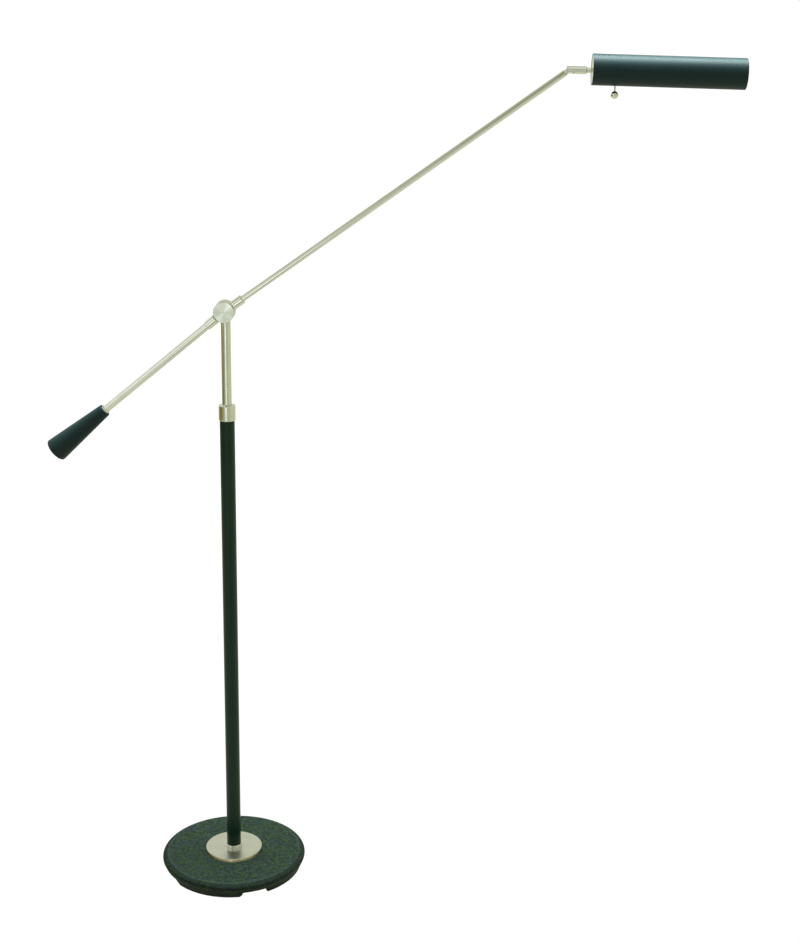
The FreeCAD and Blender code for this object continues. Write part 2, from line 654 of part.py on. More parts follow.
nut = cut(
    "neck_nut", hexagon("neck_nut_hex", 7.2, 3.4, (D["shade_start"] + 3.0, 0, 0), (1, 0, 0)),
    [cyl("neck_nut_bore", "neck_core", 6.0, (D["shade_start"] + 2.0, 0, 0), (1, 0, 0))],
)
nut.Placement = HEAD

# The shade and all it carries sit on an axis a little above the neck's.
SHADE = HEAD.multiply(PLC(V(0, 0, D["neck_below"]), ROT()))

# Shade shell: a thin tube with a light slot along its lower back and a hole for the switch spindle.
blank = turned(
    "shell_blank",
    [
        ("shade_start", "shade_bore"), ("shade_end", "shade_bore"), ("shade_end", "shade_rad"), ("shade_start", "shade_rad"),
    ],
    axis="H", keep=False,
)


def sector(name, x0, x1, mid, half, radius):
    """A wedge about the head's axis: mid is the turn from straight down towards the back."""
    pts = [V(0, 0, 0)]
    for k in range(5):
        a = math.radians(mid - half + 2 * half * k / 4.0)
        pts.append(V(0, radius * math.sin(a), -radius * math.cos(a)))
    pts.append(V(0, 0, 0))
    f = doc.addObject("Part::Feature", name)
    f.Shape = Part.Face(Part.makePolygon(pts)).extrude(V(x1 - x0, 0, 0))
    f.Placement = PLC(V(x0, 0, 0), ROT())
    return f


shell = cut(
    "shade_shell", blank,
    [
        sector("light_slot", D["slot_start"], D["slot_end"], D["slot_turn"], D["slot_half"], 45.0),
        cyl("spindle_hole", 3.2, 20, ("knob_at", 0, -15), (0, 0, -1)),
    ],
)
shell.Placement = SHADE
turned(
    "shade_inner_plate",
    [
        (["shade_start", 0.3], 0), (["shade_start", 0.3], "shade_bore"), (["shade_start", 7.0], "shade_bore"), (["shade_start", 7.0], ["shade_bore", -1.0]),
        (["shade_start", 1.8], ["shade_bore", -1.0]), (["shade_start", 1.8], 0),
    ],
    axis="H", keep=False,
)
inner = doc.getObject("shade_inner_plate")
plate_cut = cut("shade_inner_plate", inner, [cyl("plate_neck_hole", ["neck_core", 0.05], 10, (D["shade_start"] - 3, 0, -D["neck_below"]), (1, 0, 0))])
plate_cut.Placement = SHADE
turned(
    "shade_outer_plate",
    [
        (["shade_end", -2.6], 0), (["shade_end", -1.4], 0), (["shade_end", -1.4], "shade_bore"), (["shade_end", -8.0], "shade_bore"),
        (["shade_end", -8.0], ["shade_bore", -1.0]), (["shade_end", -2.6], ["shade_bore", -1.0]),
    ],
    axis="H",
).Placement = SHADE
liner = tube("liner_blank", "shade_bore", ["shade_bore", -0.5], ["slot_start", 1.0], ["slot_end", -1.0], axis="H", keep=False)
refl = common("reflector", liner, sector("liner_sector", D["slot_start"] - 5, D["slot_end"] + 5, D["slot_turn"] + 180.0, 60.0, 60.0))
# the sector's straight outline is wide enough for the whole arc
refl.Placement = SHADE

# Socket on a cup bracket, held by the inner plate.
BR0, BR1 = D["shade_start"] + 1.8, D["shade_start"] + 12.0
bracket = cut(
    "socket_bracket",
    turned(
        "bracket_blank",
        [
            (["shade_start", 1.8], 10.8), (["shade_start", 1.8], 12.0), (["shade_start", 12.0], 12.0), (["shade_start", 12.0], 4.0),
            (["shade_start", 10.8], 4.0), (["shade_start", 10.8], 10.8),
        ],
        axis="H", keep=False,
    ),
    [box("bracket_window", 7.0, 30.0, 9.0, (D["shade_start"] + 2.8, -15.0, -4.5))],
)
bracket.Placement = SHADE
turned(
    "lamp_socket",
    [
        (["shade_start", 12.0], 3.0), (["shade_start", 12.0], 12.4), (["shade_start", 14.0], 14.2), (["shade_start", 24.0], 14.2), (["shade_start", 26.0], 15.2),
        (["shade_start", 46.0], 15.2), (["shade_start", 47.0], 14.4), (["shade_start", 47.0], 13.1), (["shade_start", 22.0], 13.1), (["shade_start", 22.0], 3.0),
    ],
    axis="H",
).Placement = SHADE
# Screw cap with five rounds of thread.
cap_pts = [(["shade_start", 22.2], 0), (["shade_start", 22.2], 4.4), (["shade_start", 22.8], 4.8), (["shade_start", 24.0], 11.0)]
for k in range(5):
    x0 = 25.0 + 3.8 * k
    cap_pts += [(["shade_start", x0], 12.1), (["shade_start", x0 + 1.9], 13.05)]
cap_pts += [(["shade_start", 45.5], 12.1), (["shade_start", 49.5], 12.1), (["shade_start", 49.5], 11.0), (["shade_start", 26.5], 11.0), (["shade_start", 25.2], 8.0), (["shade_start", 25.2], 0)]
turned("bulb_cap", cap_pts, axis="H").Placement = SHADE
B0 = 49.5
turned(
    "bulb_glass",
    [
        (["shade_start", B0], 11.0), (["shade_start", B0], 12.1), (["shade_start", B0 + 7.0], "bulb_rad"), (["shade_start", 155.0], "bulb_rad"),
        (["shade_start", 163.0], ["bulb_rad", -3.0]), (["shade_start", 167.5], ["bulb_rad", -8.5]), (["shade_start", 168.6], 0), (["shade_start", 167.6], 0),
        (["shade_start", 166.6], ["bulb_rad", -9.0]), (["shade_start", 162.3], ["bulb_rad", -3.8]), (["shade_start", 154.6], ["bulb_rad", -0.9]), (["shade_start", B0 + 7.3], ["bulb_rad", -0.9]),
    ],
    axis="H",
).Placement = SHADE
# Rotary switch under the socket: its spindle comes out below the shade and carries the ball.
housing = cut(
    "switch_housing", cyl("housing_body", 5.4, 9.4, ("knob_at", 0, -12.2), (0, 0, -1)),
    [
        cyl("housing_socket_clear", 15.2, 60, (D["shade_start"] + 10, 0, 0), (1, 0, 0)),
        cyl("housing_bore", ["spindle_rad", 0.05], 20, ("knob_at", 0, -10), (0, 0, -1)),
    ],
)
housing.Placement = SHADE
sp = cyl("switch_spindle", "spindle_rad", 18.65, ("knob_at", 0, -16.0), (0, 0, -1))
node(sp, "switch_spindle").Placement = SHADE.multiply(sp.Placement)
ball = doc.addObject("Part::Sphere", "knob_sphere")
ball.setExpression("Radius", q("ball_rad").text())
ball.Placement = PLC(V(D["knob_at"], 0, -D["knob_drop"]), ROT())
kb = cut("ball_knob", ball, [cyl("knob_bore", "spindle_rad", 14.65, ("knob_at", 0, -20.0), (0, 0, -1))])
kb.Placement = SHADE

# ================================================================ check and write
doc.recompute()
bad = [o.Name for o in doc.Objects if ("Invalid" in o.State or "Error" in o.State)]
if bad:
    raise RuntimeError("failed objects: " + ", ".join(bad))
for label, obj in NODES.items():
    shp = obj.Shape
    if shp.isNull() or not shp.isValid() or not shp.Solids:
        raise RuntimeError("bad shape: " + label)
os.makedirs("parts", exist_ok=True)
for label, obj in NODES.items():
    obj.Shape.exportStep("parts/" + label + ".step")
    bb = obj.Shape.BoundBox
    print("%-22s solids %d vol %.1f  x %.1f..%.1f y %.1f..%.1f z %.1f..%.1f" % (label, len(obj.Shape.Solids), obj.Shape.Volume, bb.XMin, bb.XMax, bb.YMin, bb.YMax, bb.ZMin, bb.ZMax))
print(len(NODES), "nodes")
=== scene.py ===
import bpy
import bmesh
import json
import math
from mathutils import Matrix, Vector

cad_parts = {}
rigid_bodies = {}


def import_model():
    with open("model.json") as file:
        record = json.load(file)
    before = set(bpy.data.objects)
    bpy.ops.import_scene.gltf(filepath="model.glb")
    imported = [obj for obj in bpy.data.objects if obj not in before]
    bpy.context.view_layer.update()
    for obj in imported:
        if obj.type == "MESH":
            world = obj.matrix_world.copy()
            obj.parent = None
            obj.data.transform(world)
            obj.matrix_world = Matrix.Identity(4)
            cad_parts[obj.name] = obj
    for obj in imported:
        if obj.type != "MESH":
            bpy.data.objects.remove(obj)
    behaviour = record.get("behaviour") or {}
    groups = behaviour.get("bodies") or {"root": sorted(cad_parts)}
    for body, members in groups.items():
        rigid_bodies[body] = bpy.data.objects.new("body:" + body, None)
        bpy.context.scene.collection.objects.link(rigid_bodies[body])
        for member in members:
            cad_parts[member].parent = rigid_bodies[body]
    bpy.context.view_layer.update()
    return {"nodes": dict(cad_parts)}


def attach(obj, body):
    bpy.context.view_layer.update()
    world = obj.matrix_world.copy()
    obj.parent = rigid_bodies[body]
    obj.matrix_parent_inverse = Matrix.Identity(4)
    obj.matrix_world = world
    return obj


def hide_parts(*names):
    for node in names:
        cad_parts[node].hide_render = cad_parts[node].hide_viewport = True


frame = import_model()
NODES = frame["nodes"]

# ------------------------------------------------------------------ frames of the lamp, in metres
MM = 0.001
PIVOT = Vector((0.0, 0.0, 1.0183))
ARM_Y = -0.016
LONG_A = math.radians(35.81)
SHORT_A = math.radians(180.0 + 40.1)
DROOP = math.radians(0.75)
HINGE = Vector((0.6698 * math.cos(LONG_A), ARM_Y, PIVOT.z + 0.6698 * math.sin(LONG_A)))


def axis_frame(origin, along, side):
    """Local +Z runs along the axis, local +X points to the side."""
    z = Vector(along).normalized()
    x = (Vector(side) - Vector(side).dot(z) * z).normalized()
    y = z.cross(x)
    m = Matrix((x, y, z)).transposed().to_4x4()
    m.translation = Vector(origin)
    return m


F_UP = Matrix.Identity(4)
F_PIVOT = axis_frame(PIVOT, (0, 1, 0), (1, 0, 0))
F_LONG = axis_frame((0, ARM_Y, PIVOT.z), (math.cos(LONG_A), 0, math.sin(LONG_A)), (0, -1, 0))
F_SHORT = axis_frame((0, ARM_Y, PIVOT.z), (math.cos(SHORT_A), 0, math.sin(SHORT_A)), (0, -1, 0))
F_HEAD = axis_frame(HINGE, (math.cos(DROOP), 0, -math.sin(DROOP)), (0, -1, 0))   # +X viewer, +Y down
F_SHADE = F_HEAD @ Matrix.Translation((0.0, -0.00165, 0.0))    # the shade's axis lies a little above the neck's


# ------------------------------------------------------------------ mesh helpers
def rounded(pts, closed=True, step=None):
    """Rounds the corners of an outline. Each point is (along, radius, fillet) in mm; returns points in metres."""
    n = len(pts)
    out = []
    for i, p in enumerate(pts):
        a, r = p[0], p[1]
        f = p[2] if len(p) > 2 else 0.0
        inside = closed or 0 < i < n - 1
        if f > 0 and inside:
            p0 = Vector(pts[i - 1][:2])
            p1 = Vector((a, r))
            p2 = Vector(pts[(i + 1) % n][:2])
            d0, d1 = (p0 - p1), (p2 - p1)
            l0, l1 = d0.length, d1.length
            d0, d1 = d0.normalized(), d1.normalized()
            ang = math.acos(max(-1.0, min(1.0, d0.dot(d1))))
            turn = math.pi - ang
            if turn > 0.02:
                t = min(f / math.tan(ang / 2), 0.48 * l0, 0.48 * l1)
                rad = t * math.tan(ang / 2)
                s, e = p1 + d0 * t, p1 + d1 * t
                bis = (d0 + d1)
                c = p1 + bis.normalized() * (rad / math.sin(ang / 2))
                k = max(2, int(math.ceil(math.degrees(turn) / 14.0)))
                v0, v1 = s - c, e - c
                a0 = math.atan2(v0.y, v0.x)
                da = math.atan2(v0.x * v1.y - v0.y * v1.x, v0.dot(v1))
                for j in range(k + 1):
                    q = a0 + da * j / k
                    out.append((c.x + rad * math.cos(q), c.y + rad * math.sin(q)))
                continue
        out.append((a, r))
    if step:
        fine = []
        m = len(out)
        for i, p in enumerate(out):
            fine.append(p)
            if not closed and i == m - 1:
                break
            q = out[(i + 1) % m]
            d = math.dist(p, q)
            k = int(d // step)
            for j in range(1, k + 1):
                fine.append((p[0] + (q[0] - p[0]) * j / (k + 1), p[1] + (q[1] - p[1]) * j / (k + 1)))
        out = fine
    return [(a * MM, r * MM) for a, r in out]


def make_object(name, verts, faces, matrix):
    me = bpy.data.meshes.new(name)
    me.from_pydata([tuple(v) for v in verts], [], faces)
    bm = bmesh.new()
    bm.from_mesh(me)
    bmesh.ops.remove_doubles(bm, verts=bm.verts, dist=1e-8)
    bmesh.ops.recalc_face_normals(bm, faces=bm.faces)
    bm.to_mesh(me)
    bm.free()
    ob = bpy.data.objects.new(name, me)
    bpy.context.scene.collection.objects.link(ob)
    ob.matrix_world = matrix
    smooth(ob)
    return ob


def smooth(ob, angle=38.0):
    me = ob.data
    me.shade_smooth()
    me.set_sharp_from_angle(angle=math.radians(angle))


def lathe(name, outline, n, matrix, closed=True, step=None, ready=False):
    """Turns an outline of (along, radius, fillet) about local Z. An open outline starts and ends on the axis."""
    prof = outline if ready else rounded(outline, closed, step)
    verts, rings = [], []
    for a, r in prof:
        if r < 1e-7:
            rings.append([len(verts)])
            verts.append((0.0, 0.0, a))
        else:
            rings.append(list(range(len(verts), len(verts) + n)))
            for k in range(n):
                t = 2 * math.pi * k / n
                verts.append((r * math.cos(t), r * math.sin(t), a))
    faces = []
    m = len(rings)
    for i in range(m if closed else m - 1):
        A, B = rings[i], rings[(i + 1) % m]
        if len(A) == 1 and len(B) == 1:
            continue
        for k in range(n):
            k2 = (k + 1) % n
            if len(A) == 1:
                faces.append((A[0], B[k], B[k2]))
            elif len(B) == 1:
                faces.append((A[k], B[0], A[k2]))
            else:
                faces.append((A[k], B[k], B[k2], A[k2]))
    return make_object(name, verts, faces, matrix)


def bench(name, verts, faces, matrix=None):
    ob = make_object(name, verts, faces, matrix or Matrix.Identity(4))
    return ob


def rod(name, radius, a, b, matrix, n=64):
    return lathe(name, [(a, 0), (a, radius), (b, radius), (b, 0)], n, matrix, closed=False)


def block(name, lo, hi, matrix):
    """A cutter's block, in mm."""
    (x0, y0, z0), (x1, y1, z1) = lo, hi
    v = [(x * MM, y * MM, z * MM) for x in (x0, x1) for y in (y0, y1) for z in (z0, z1)]
    f = [(0, 1, 3, 2), (4, 6, 7, 5), (0, 4, 5, 1), (2, 3, 7, 6), (0, 2, 6, 4), (1, 5, 7, 3)]
    return make_object(name, v, f, matrix)


def cut(ob, cutters, angle=38.0):
    """Cuts the cutters from ob and leaves a plain mesh."""
    for c in cutters:
        m = ob.modifiers.new("cut", "BOOLEAN")
        m.operation = "DIFFERENCE"
        m.solver = "EXACT"
        m.object = c
    bpy.context.view_layer.update()
    dg = bpy.context.evaluated_depsgraph_get()
    new = bpy.data.meshes.new_from_object(ob.evaluated_get(dg))
    ob.modifiers.clear()
    old = ob.data
    ob.data = new
    bpy.data.meshes.remove(old)
    new.name = ob.name
    for c in cutters:
        me = c.data
        bpy.data.objects.remove(c)
        bpy.data.meshes.remove(me)
    bm = bmesh.new()
    bm.from_mesh(new)
    bmesh.ops.remove_doubles(bm, verts=bm.verts, dist=2e-7)
    bmesh.ops.dissolve_degenerate(bm, dist=1e-7, edges=bm.edges)
    bm.to_mesh(new)
    bm.free()
    smooth(ob, angle)
    return ob


# ------------------------------------------------------------------ material helpers
class Mat:
    def __init__(self, name):
        self.m = bpy.data.materials.new(name)
        self.m.use_nodes = True
        self.t = self.m.node_tree
        self.b = self.t.nodes["Principled BSDF"]
        self.tc = self.t.nodes.new("ShaderNodeTexCoord")
        self.P = self.tc.outputs["Object"]

    def node(self, kind, **kw):
        n = self.t.nodes.new(kind)
        for k, v in kw.items():
            setattr(n, k, v)
        return n

    def link(self, a, b):
        self.t.links.new(a, b)

    def put(self, socket, value):
        if hasattr(value, "is_output"):
            self.link(value, socket)
        else:
            socket.default_value = value

    def scaled(self, sx, sy, sz, src=None):
        n = self.node("ShaderNodeMapping")
        self.link(src or self.P, n.inputs["Vector"])
        n.inputs["Scale"].default_value = (sx, sy, sz)
        return n.outputs["Vector"]

    def noise(self, scale, detail=3.0, rough=0.55, src=None, distort=0.0):
        n = self.node("ShaderNodeTexNoise")
        self.link(src or self.P, n.inputs["Vector"])
        n.inputs["Scale"].default_value = scale
        n.inputs["Detail"].default_value = detail
        n.inputs["Roughness"].default_value = rough
        n.inputs["Distortion"].default_value = distort
        return n.outputs["Fac"]

    def voronoi(self, scale, feature="F1", src=None, smoothness=None):
        n = self.node("ShaderNodeTexVoronoi", feature=feature)
        self.link(src or self.P, n.inputs["Vector"])
        n.inputs["Scale"].default_value = scale
        if smoothness is not None and "Smoothness" in n.inputs:
            n.inputs["Smoothness"].default_value = smoothness
        return n.outputs["Distance"]

    def math(self, op, a, b=0.0, c=None, clamp=False):
        n = self.node("ShaderNodeMath", operation=op)
        n.use_clamp = clamp
        self.put(n.inputs[0], a)
        self.put(n.inputs[1], b)
        if c is not None:
            self.put(n.inputs[2], c)
        return n.outputs[0]

    def remap(self, v, a0, a1, b0, b1):
        n = self.node("ShaderNodeMapRange")
        self.link(v, n.inputs["Value"])
        for k, x in (("From Min", a0), ("From Max", a1), ("To Min", b0), ("To Max", b1)):
            n.inputs[k].default_value = x
        return n.outputs["Result"]

    def mix(self, fac, a, b, kind="RGBA", blend="MIX"):
        n = self.node("ShaderNodeMix", data_type=kind)
        n.blend_type = blend
        s = [i for i in n.inputs if i.enabled]
        self.put(s[0], fac)
        self.put(s[1], a)
        self.put(s[2], b)
        return [o for o in n.outputs if o.enabled][0]

    def ramp(self, v, stops):
        n = self.node("ShaderNodeValToRGB")
        self.link(v, n.inputs["Fac"])
        e = n.color_ramp.elements
        while len(e) > len(stops):
            e.remove(e[-1])
        for i, (p, c) in enumerate(stops):
            if i >= len(e):
                e.new(p)
            e[i].position = p
            e[i].color = (*c, 1.0) if len(c) == 3 else c
        return n.outputs["Color"]

    def bump(self, height, distance, strength=1.0, normal=None):
        n = self.node("ShaderNodeBump")
        n.inputs["Distance"].default_value = distance
        n.inputs["Strength"].default_value = strength
        self.link(height, n.inputs["Height"])
        if normal is not None:
            self.link(normal, n.inputs["Normal"])
        return n.outputs["Normal"]

    def rings(self, k_r, k_z):
        """Coordinates that are the same all round the axis: distance from it and place along it."""
        sep = self.node("ShaderNodeSeparateXYZ")
        self.link(self.P, sep.inputs[0])
        rr = self.math("SQRT", self.math("ADD", self.math("MULTIPLY", sep.outputs[0], sep.outputs[0]), self.math("MULTIPLY", sep.outputs[1], sep.outputs[1])))
        com = self.node("ShaderNodeCombineXYZ")
        self.link(self.math("MULTIPLY", rr, k_r), com.inputs[0])
        self.link(self.math("MULTIPLY", sep.outputs[2], k_z), com.inputs[1])
        return com.outputs[0], rr, sep

    def out(self, color=None, rough=None, normal=None, **sockets):
        i = self.b.inputs
        if color is not None:
            self.put(i["Base Color"], color)
        if rough is not None:
            self.put(i["Roughness"], rough)
        if normal is not None:
            self.link(normal, i["Normal"])
        for k, v in sockets.items():
            i[k.replace("_", " ")].default_value = v
        return self.m


def c4(*v):
    return (*v, 1.0)


NICKEL_A, NICKEL_B = (0.700, 0.690, 0.630), (0.640, 0.635, 0.570)


def nickel(name, kind, rough=(0.15, 0.24), fine=1.0, a=NICKEL_A, b=NICKEL_B, bump=1.0, aniso=0.0, side=None):
    """Satin nickel plate over turned or drawn metal: kind is ring, along or plain."""
    m = Mat(name)
    cloud = m.noise(38.0, 4.0, 0.6)
    spots = m.noise(420.0, 2.0, 0.5)
    if kind == "ring":
        co, rr, sep = m.rings(2600.0 * fine, 2600.0 * fine)
        lines = m.noise(1.0, 3.0, 0.65, co)
    elif kind == "along":
        lines = m.noise(1.0, 3.0, 0.65, m.scaled(2400.0 * fine, 2400.0 * fine, 26.0))
    else:
        lines = m.noise(1900.0 * fine, 3.0, 0.6)
    col = m.mix(m.remap(cloud, 0.3, 0.7, 0.0, 1.0), c4(*a), c4(*b))
    dark = m.mix(m.remap(lines, 0.25, 0.75, 0.10, 0.0), col, c4(a[0] * 0.72, a[1] * 0.70, a[2] * 0.62))
    r = m.math("ADD", m.remap(cloud, 0.25, 0.75, rough[0], rough[1]), m.math("ADD", m.remap(lines, 0.3, 0.7, -0.02, 0.035), m.remap(spots, 0.35, 0.75, -0.01, 0.02)))
    n = m.bump(lines, 0.000012 * bump, 0.35)
    n = m.bump(spots, 0.00001 * bump, 0.25, n)
    if side:   # beyond this radius the edge is painted darker and warmer, a painted reflection, and made a little smoother
        side_painted_reflection = m.math("MULTIPLY", m.remap(rr, side - 0.0004, side + 0.0002, 0.0, 1.0), m.remap(spots, 0.25, 0.75, 0.55, 0.85))
        dark = m.mix(side_painted_reflection, dark, c4(a[0] * 0.52, a[1] * 0.42, a[2] * 0.22))
        r = m.math("SUBTRACT", r, m.math("MULTIPLY", side_painted_reflection, 0.14))
    if aniso:   # turned grooves run round the axis, so the highlight fans out from it
        tan = m.node("ShaderNodeTangent", direction_type="RADIAL", axis="Z")
        m.link(tan.outputs[0], m.b.inputs["Tangent"])
        m.b.inputs["Anisotropic Rotation"].default_value = 0.25
    return m.out(dark, r, n, Metallic=1.0, Anisotropic=aniso)


def paint(name, a, b, rough, peel=620.0, peel_depth=0.000022, spec=0.5, coat=0.0, coat_rough=0.1, streak=False):
    """Sprayed paint: slight orange peel, a little tone variation, fine specks."""
    m = Mat(name)
    cloud = m.noise(22.0, 4.0, 0.6)
    speck = m.noise(1400.0, 2.0, 0.5)
    orange = m.noise(peel, 2.0, 0.5, distort=0.3)
    col = m.mix(m.remap(cloud, 0.3, 0.7, 0.0, 1.0), c4(*a), c4(*b))
    col = m.mix(m.remap(speck, 0.58, 0.80, 0.0, 0.35), col, c4(min(1, b[0] * 1.9), min(1, b[1] * 1.9), min(1, b[2] * 1.9)))
    r = m.math("ADD", m.remap(cloud, 0.25, 0.75, rough[0], rough[1]), m.remap(speck, 0.3, 0.7, -0.015, 0.03))
    n = m.bump(orange, peel_depth, 0.6)
    n = m.bump(speck, 0.000008, 0.4, n)
    k = {"Specular_IOR_Level": spec}
    if coat:
        k["Coat_Weight"] = coat
        k["Coat_Roughness"] = coat_rough
    return m.out(col, r, n, **k)


def wrinkle(name, dark, olive, slate, rough=(0.46, 0.62)):
    """Thick textured paint on a casting: wrinkles and pits, a mottle of two tones on a dark ground, a smoother crest
    with a painted highlight ring, and painted shade on the lip below it.
    """
    m = Mat(name)
    cloud = m.noise(16.0, 5.0, 0.62)
    mottle = m.noise(185.0, 2.5, 0.65, distort=0.6)
    tint = m.noise(120.0, 2.0, 0.55, src=m.node_shift(3.1))
    cells = m.voronoi(760.0, "SMOOTH_F1", smoothness=0.6, src=m.mix(0.06, m.P, m.node_color(180.0), kind="VECTOR"))
    grain = m.noise(1700.0, 3.0, 0.6)
    light = m.mix(m.remap(tint, 0.42, 0.58, 0.0, 1.0), c4(*olive), c4(*slate))
    col = m.mix(m.remap(mottle, 0.40, 0.60, 0.0, 1.0), c4(*dark), light)
    mid = [(dark[i] * 2 + olive[i] + slate[i]) / 4 for i in range(3)]
    col = m.mix(m.remap(cloud, 0.3, 0.7, 0.0, 0.22), col, c4(*mid))
    co, rr, sep = m.rings(1.0, 1.0)
    high = m.remap(sep.outputs[2], 0.0235, 0.0250, 0.0, 1.0)
    # crest: a painted highlight, a lighter ring along the rim's top edge, which is also made smoother
    crest = m.math("MULTIPLY", m.remap(rr, 0.1150, 0.1168, 0.0, 1.0), m.math("MULTIPLY", m.remap(rr, 0.1202, 0.1190, 0.0, 1.0), high))
    # lip: painted shade, a darker colour on the lip and bevel below the rim, which is also a little rougher
    lip = m.math("MULTIPLY", m.remap(rr, 0.1192, 0.1212, 0.0, 1.0), m.remap(sep.outputs[2], 0.0180, 0.0210, 0.0, 1.0))
    col = m.mix(m.math("MULTIPLY", crest, 0.13), col, c4(*[min(1.0, v * 2.2) for v in slate]))
    col = m.mix(m.math("MULTIPLY", lip, 0.48), col, c4(*[v * 0.5 for v in dark]))
    r = m.math("ADD", m.remap(mottle, 0.3, 0.7, rough[0], rough[1]), m.remap(cells, 0.1, 0.6, 0.04, -0.04))
    r = m.math("ADD", m.math("SUBTRACT", r, m.math("MULTIPLY", crest, 0.16)), m.math("MULTIPLY", lip, 0.16))
    n = m.bump(cells, 0.00016, 0.75)
    n = m.bump(mottle, 0.00022, 0.5, n)
    n = m.bump(grain, 0.00003, 0.5, n)
    return m.out(col, r, n, Specular_IOR_Level=0.14)


def _node_color(self, scale):
    n = self.node("ShaderNodeTexNoise")
    self.link(self.P, n.inputs["Vector"])
    n.inputs["Scale"].default_value = scale
    return n.outputs["Color"]


def _node_shift(self, d):
    n = self.node("ShaderNodeMapping")
    self.link(self.P, n.inputs["Vector"])
    n.inputs["Location"].default_value = (d, d * 0.7, -d)
    return n.outputs["Vector"]


Mat.node_color = _node_color
Mat.node_shift = _node_shift


def felt(name):
    m = Mat(name)
    fibre = m.noise(1.0, 4.0, 0.7, m.scaled(2600.0, 700.0, 1900.0), 0.8)
    fluff = m.noise(620.0, 4.0, 0.75)
    col = m.mix(m.remap(fibre, 0.3, 0.7, 0.0, 1.0), c4(0.020, 0.021, 0.020), c4(0.060, 0.060, 0.056))
    n = m.bump(fibre, 0.00015, 0.8)
    n = m.bump(fluff, 0.0002, 0.6, n)
    return m.out(col, m.remap(fluff, 0.3, 0.7, 0.88, 1.0), n, Sheen_Weight=0.35, Sheen_Roughness=0.5)


def steel(name, a, rough=(0.26, 0.42), scale=900.0, metal=1.0, tone=0.72):
    m = Mat(name)
    grain = m.noise(scale, 3.0, 0.6)
    cloud = m.noise(70.0, 3.0, 0.6)
    col = m.mix(m.remap(cloud, 0.3, 0.7, 0.0, 0.8), c4(*a), c4(a[0] * tone, a[1] * tone, a[2] * tone * 0.96))
    return m.out(col, m.remap(grain, 0.3, 0.7, rough[0], rough[1]), m.bump(grain, 0.00002, 0.5), Metallic=metal)


def plastic(name, a, rough=(0.35, 0.5), scale=1500.0, spec=0.5, sub=0.0):
    m = Mat(name)
    grain = m.noise(scale, 2.0, 0.5)
    cloud = m.noise(60.0, 3.0, 0.5)
    col = m.mix(m.remap(cloud, 0.3, 0.7, 0.0, 1.0), c4(*a), c4(a[0] * 0.88, a[1] * 0.87, a[2] * 0.84))
    k = {"Specular_IOR_Level": spec}
    if sub:
        k["Subsurface_Weight"] = sub
        k["Subsurface_Scale"] = 0.003
    return m.out(col, m.remap(grain, 0.3, 0.7, rough[0], rough[1]), m.bump(grain, 0.00002, 0.4), **k)


M_BASE = wrinkle("cast_wrinkle_black", (0.001, 0.005, 0.002), (0.016, 0.034, 0.005), (0.011, 0.019, 0.024), (0.56, 0.69))
M_FELT = felt("floor_felt")
M_POLE = paint("pole_satin_black", (0.0015, 0.0150, 0.0070), (0.0035, 0.0200, 0.0100), (0.28, 0.35), spec=0.20)
M_WEIGHT = paint("weight_satin_black", (0.0015, 0.0115, 0.0120), (0.0040, 0.0165, 0.0165), (0.44, 0.52), spec=0.20)
M_SHADE = paint("shade_satin_black", (0.0010, 0.0115, 0.0135), (0.0030, 0.0165, 0.0180), (0.44, 0.52), peel=800.0, peel_depth=0.000012, spec=0.22)
M_SHADE_END = paint("shade_end_black", (0.0010, 0.0120, 0.0120), (0.0030, 0.0160, 0.0160), (0.44, 0.52), peel=800.0, peel_depth=0.000012, spec=0.22)
M_PLATE = nickel("nickel_plate_turned", "ring", (0.30, 0.38), 0.55, bump=0.6, side=0.0501)
M_RING = nickel("nickel_ring", "ring", (0.16, 0.23))
M_COLLAR = nickel("nickel_collar", "ring", (0.12, 0.19))
M_POST = nickel("nickel_post", "along", (0.14, 0.21))
M_FACE = nickel("nickel_drum_turned", "ring", (0.30, 0.36), 1.3, bump=0.25, aniso=0.88)
M_TUBE = nickel("nickel_tube", "along", (0.07, 0.12), bump=0.45)
M_FERRULE = nickel("nickel_ferrule", "ring", (0.07, 0.12), bump=0.45)
M_HEAD = nickel("nickel_head", "ring", (0.07, 0.12), bump=0.45)
M_NICKEL = nickel("nickel_plain", "plain", (0.17, 0.25))
M_ZINC = steel("zinc_plated_steel", (0.56, 0.57, 0.56))
M_BRASS = steel("brass_turned", (0.74, 0.56, 0.27), (0.22, 0.34), 1200.0)
M_DARK = plastic("dark_nylon", (0.028, 0.028, 0.027))
M_LINER = steel("polished_liner", (0.86, 0.87, 0.86), (0.10, 0.18), 500.0, tone=0.9)
M_SOCKET = plastic("socket_porcelain", (0.78, 0.76, 0.68), (0.18, 0.26), 700.0)
M_CAPMETAL = steel("bulb_screw_cap", (0.78, 0.78, 0.77), (0.20, 0.32), 1400.0)
M_BULB = plastic("bulb_opal", (0.92, 0.91, 0.86), (0.10, 0.16), 300.0, sub=0.2)


def dress(ob, mat):
    ob.data.materials.clear()
    ob.data.materials.append(mat)


def keep(node, mat):
    """A CAD node that stays as it is and takes a material in its slots."""
    ob = NODES[node]
    for s in ob.material_slots:
        s.material = mat
    if not ob.material_slots:
        ob.data.materials.append(mat)


def piece(ob, mat, body, slot, *nodes):
    dress(ob, mat)
    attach(ob, body)
    if nodes:
        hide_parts(*nodes)
    return ob


# ------------------------------------------------------------------ camera
cam_data = bpy.data.cameras.new("camera")
cam = bpy.data.objects.new("camera", cam_data)
bpy.context.scene.collection.objects.link(cam)
RIGHT = Vector((0.999389238, 0.031370153, 0.015396914))
UP = Vector((-0.023770365, 0.287298378, 0.957546136))
FORWARD = Vector((-0.025614862, 0.957327294, -0.287868587))
cam_m = Matrix((RIGHT, UP, -FORWARD)).transposed().to_4x4()
cam_m.translation = Vector((0.3590165, -2.5745447, 1.5259635))
cam.matrix_world = cam_m
cam_data.sensor_width = 36.0
cam_data.lens = 61.277
cam_data.clip_start, cam_data.clip_end = 0.05, 200.0
bpy.context.scene.camera = cam

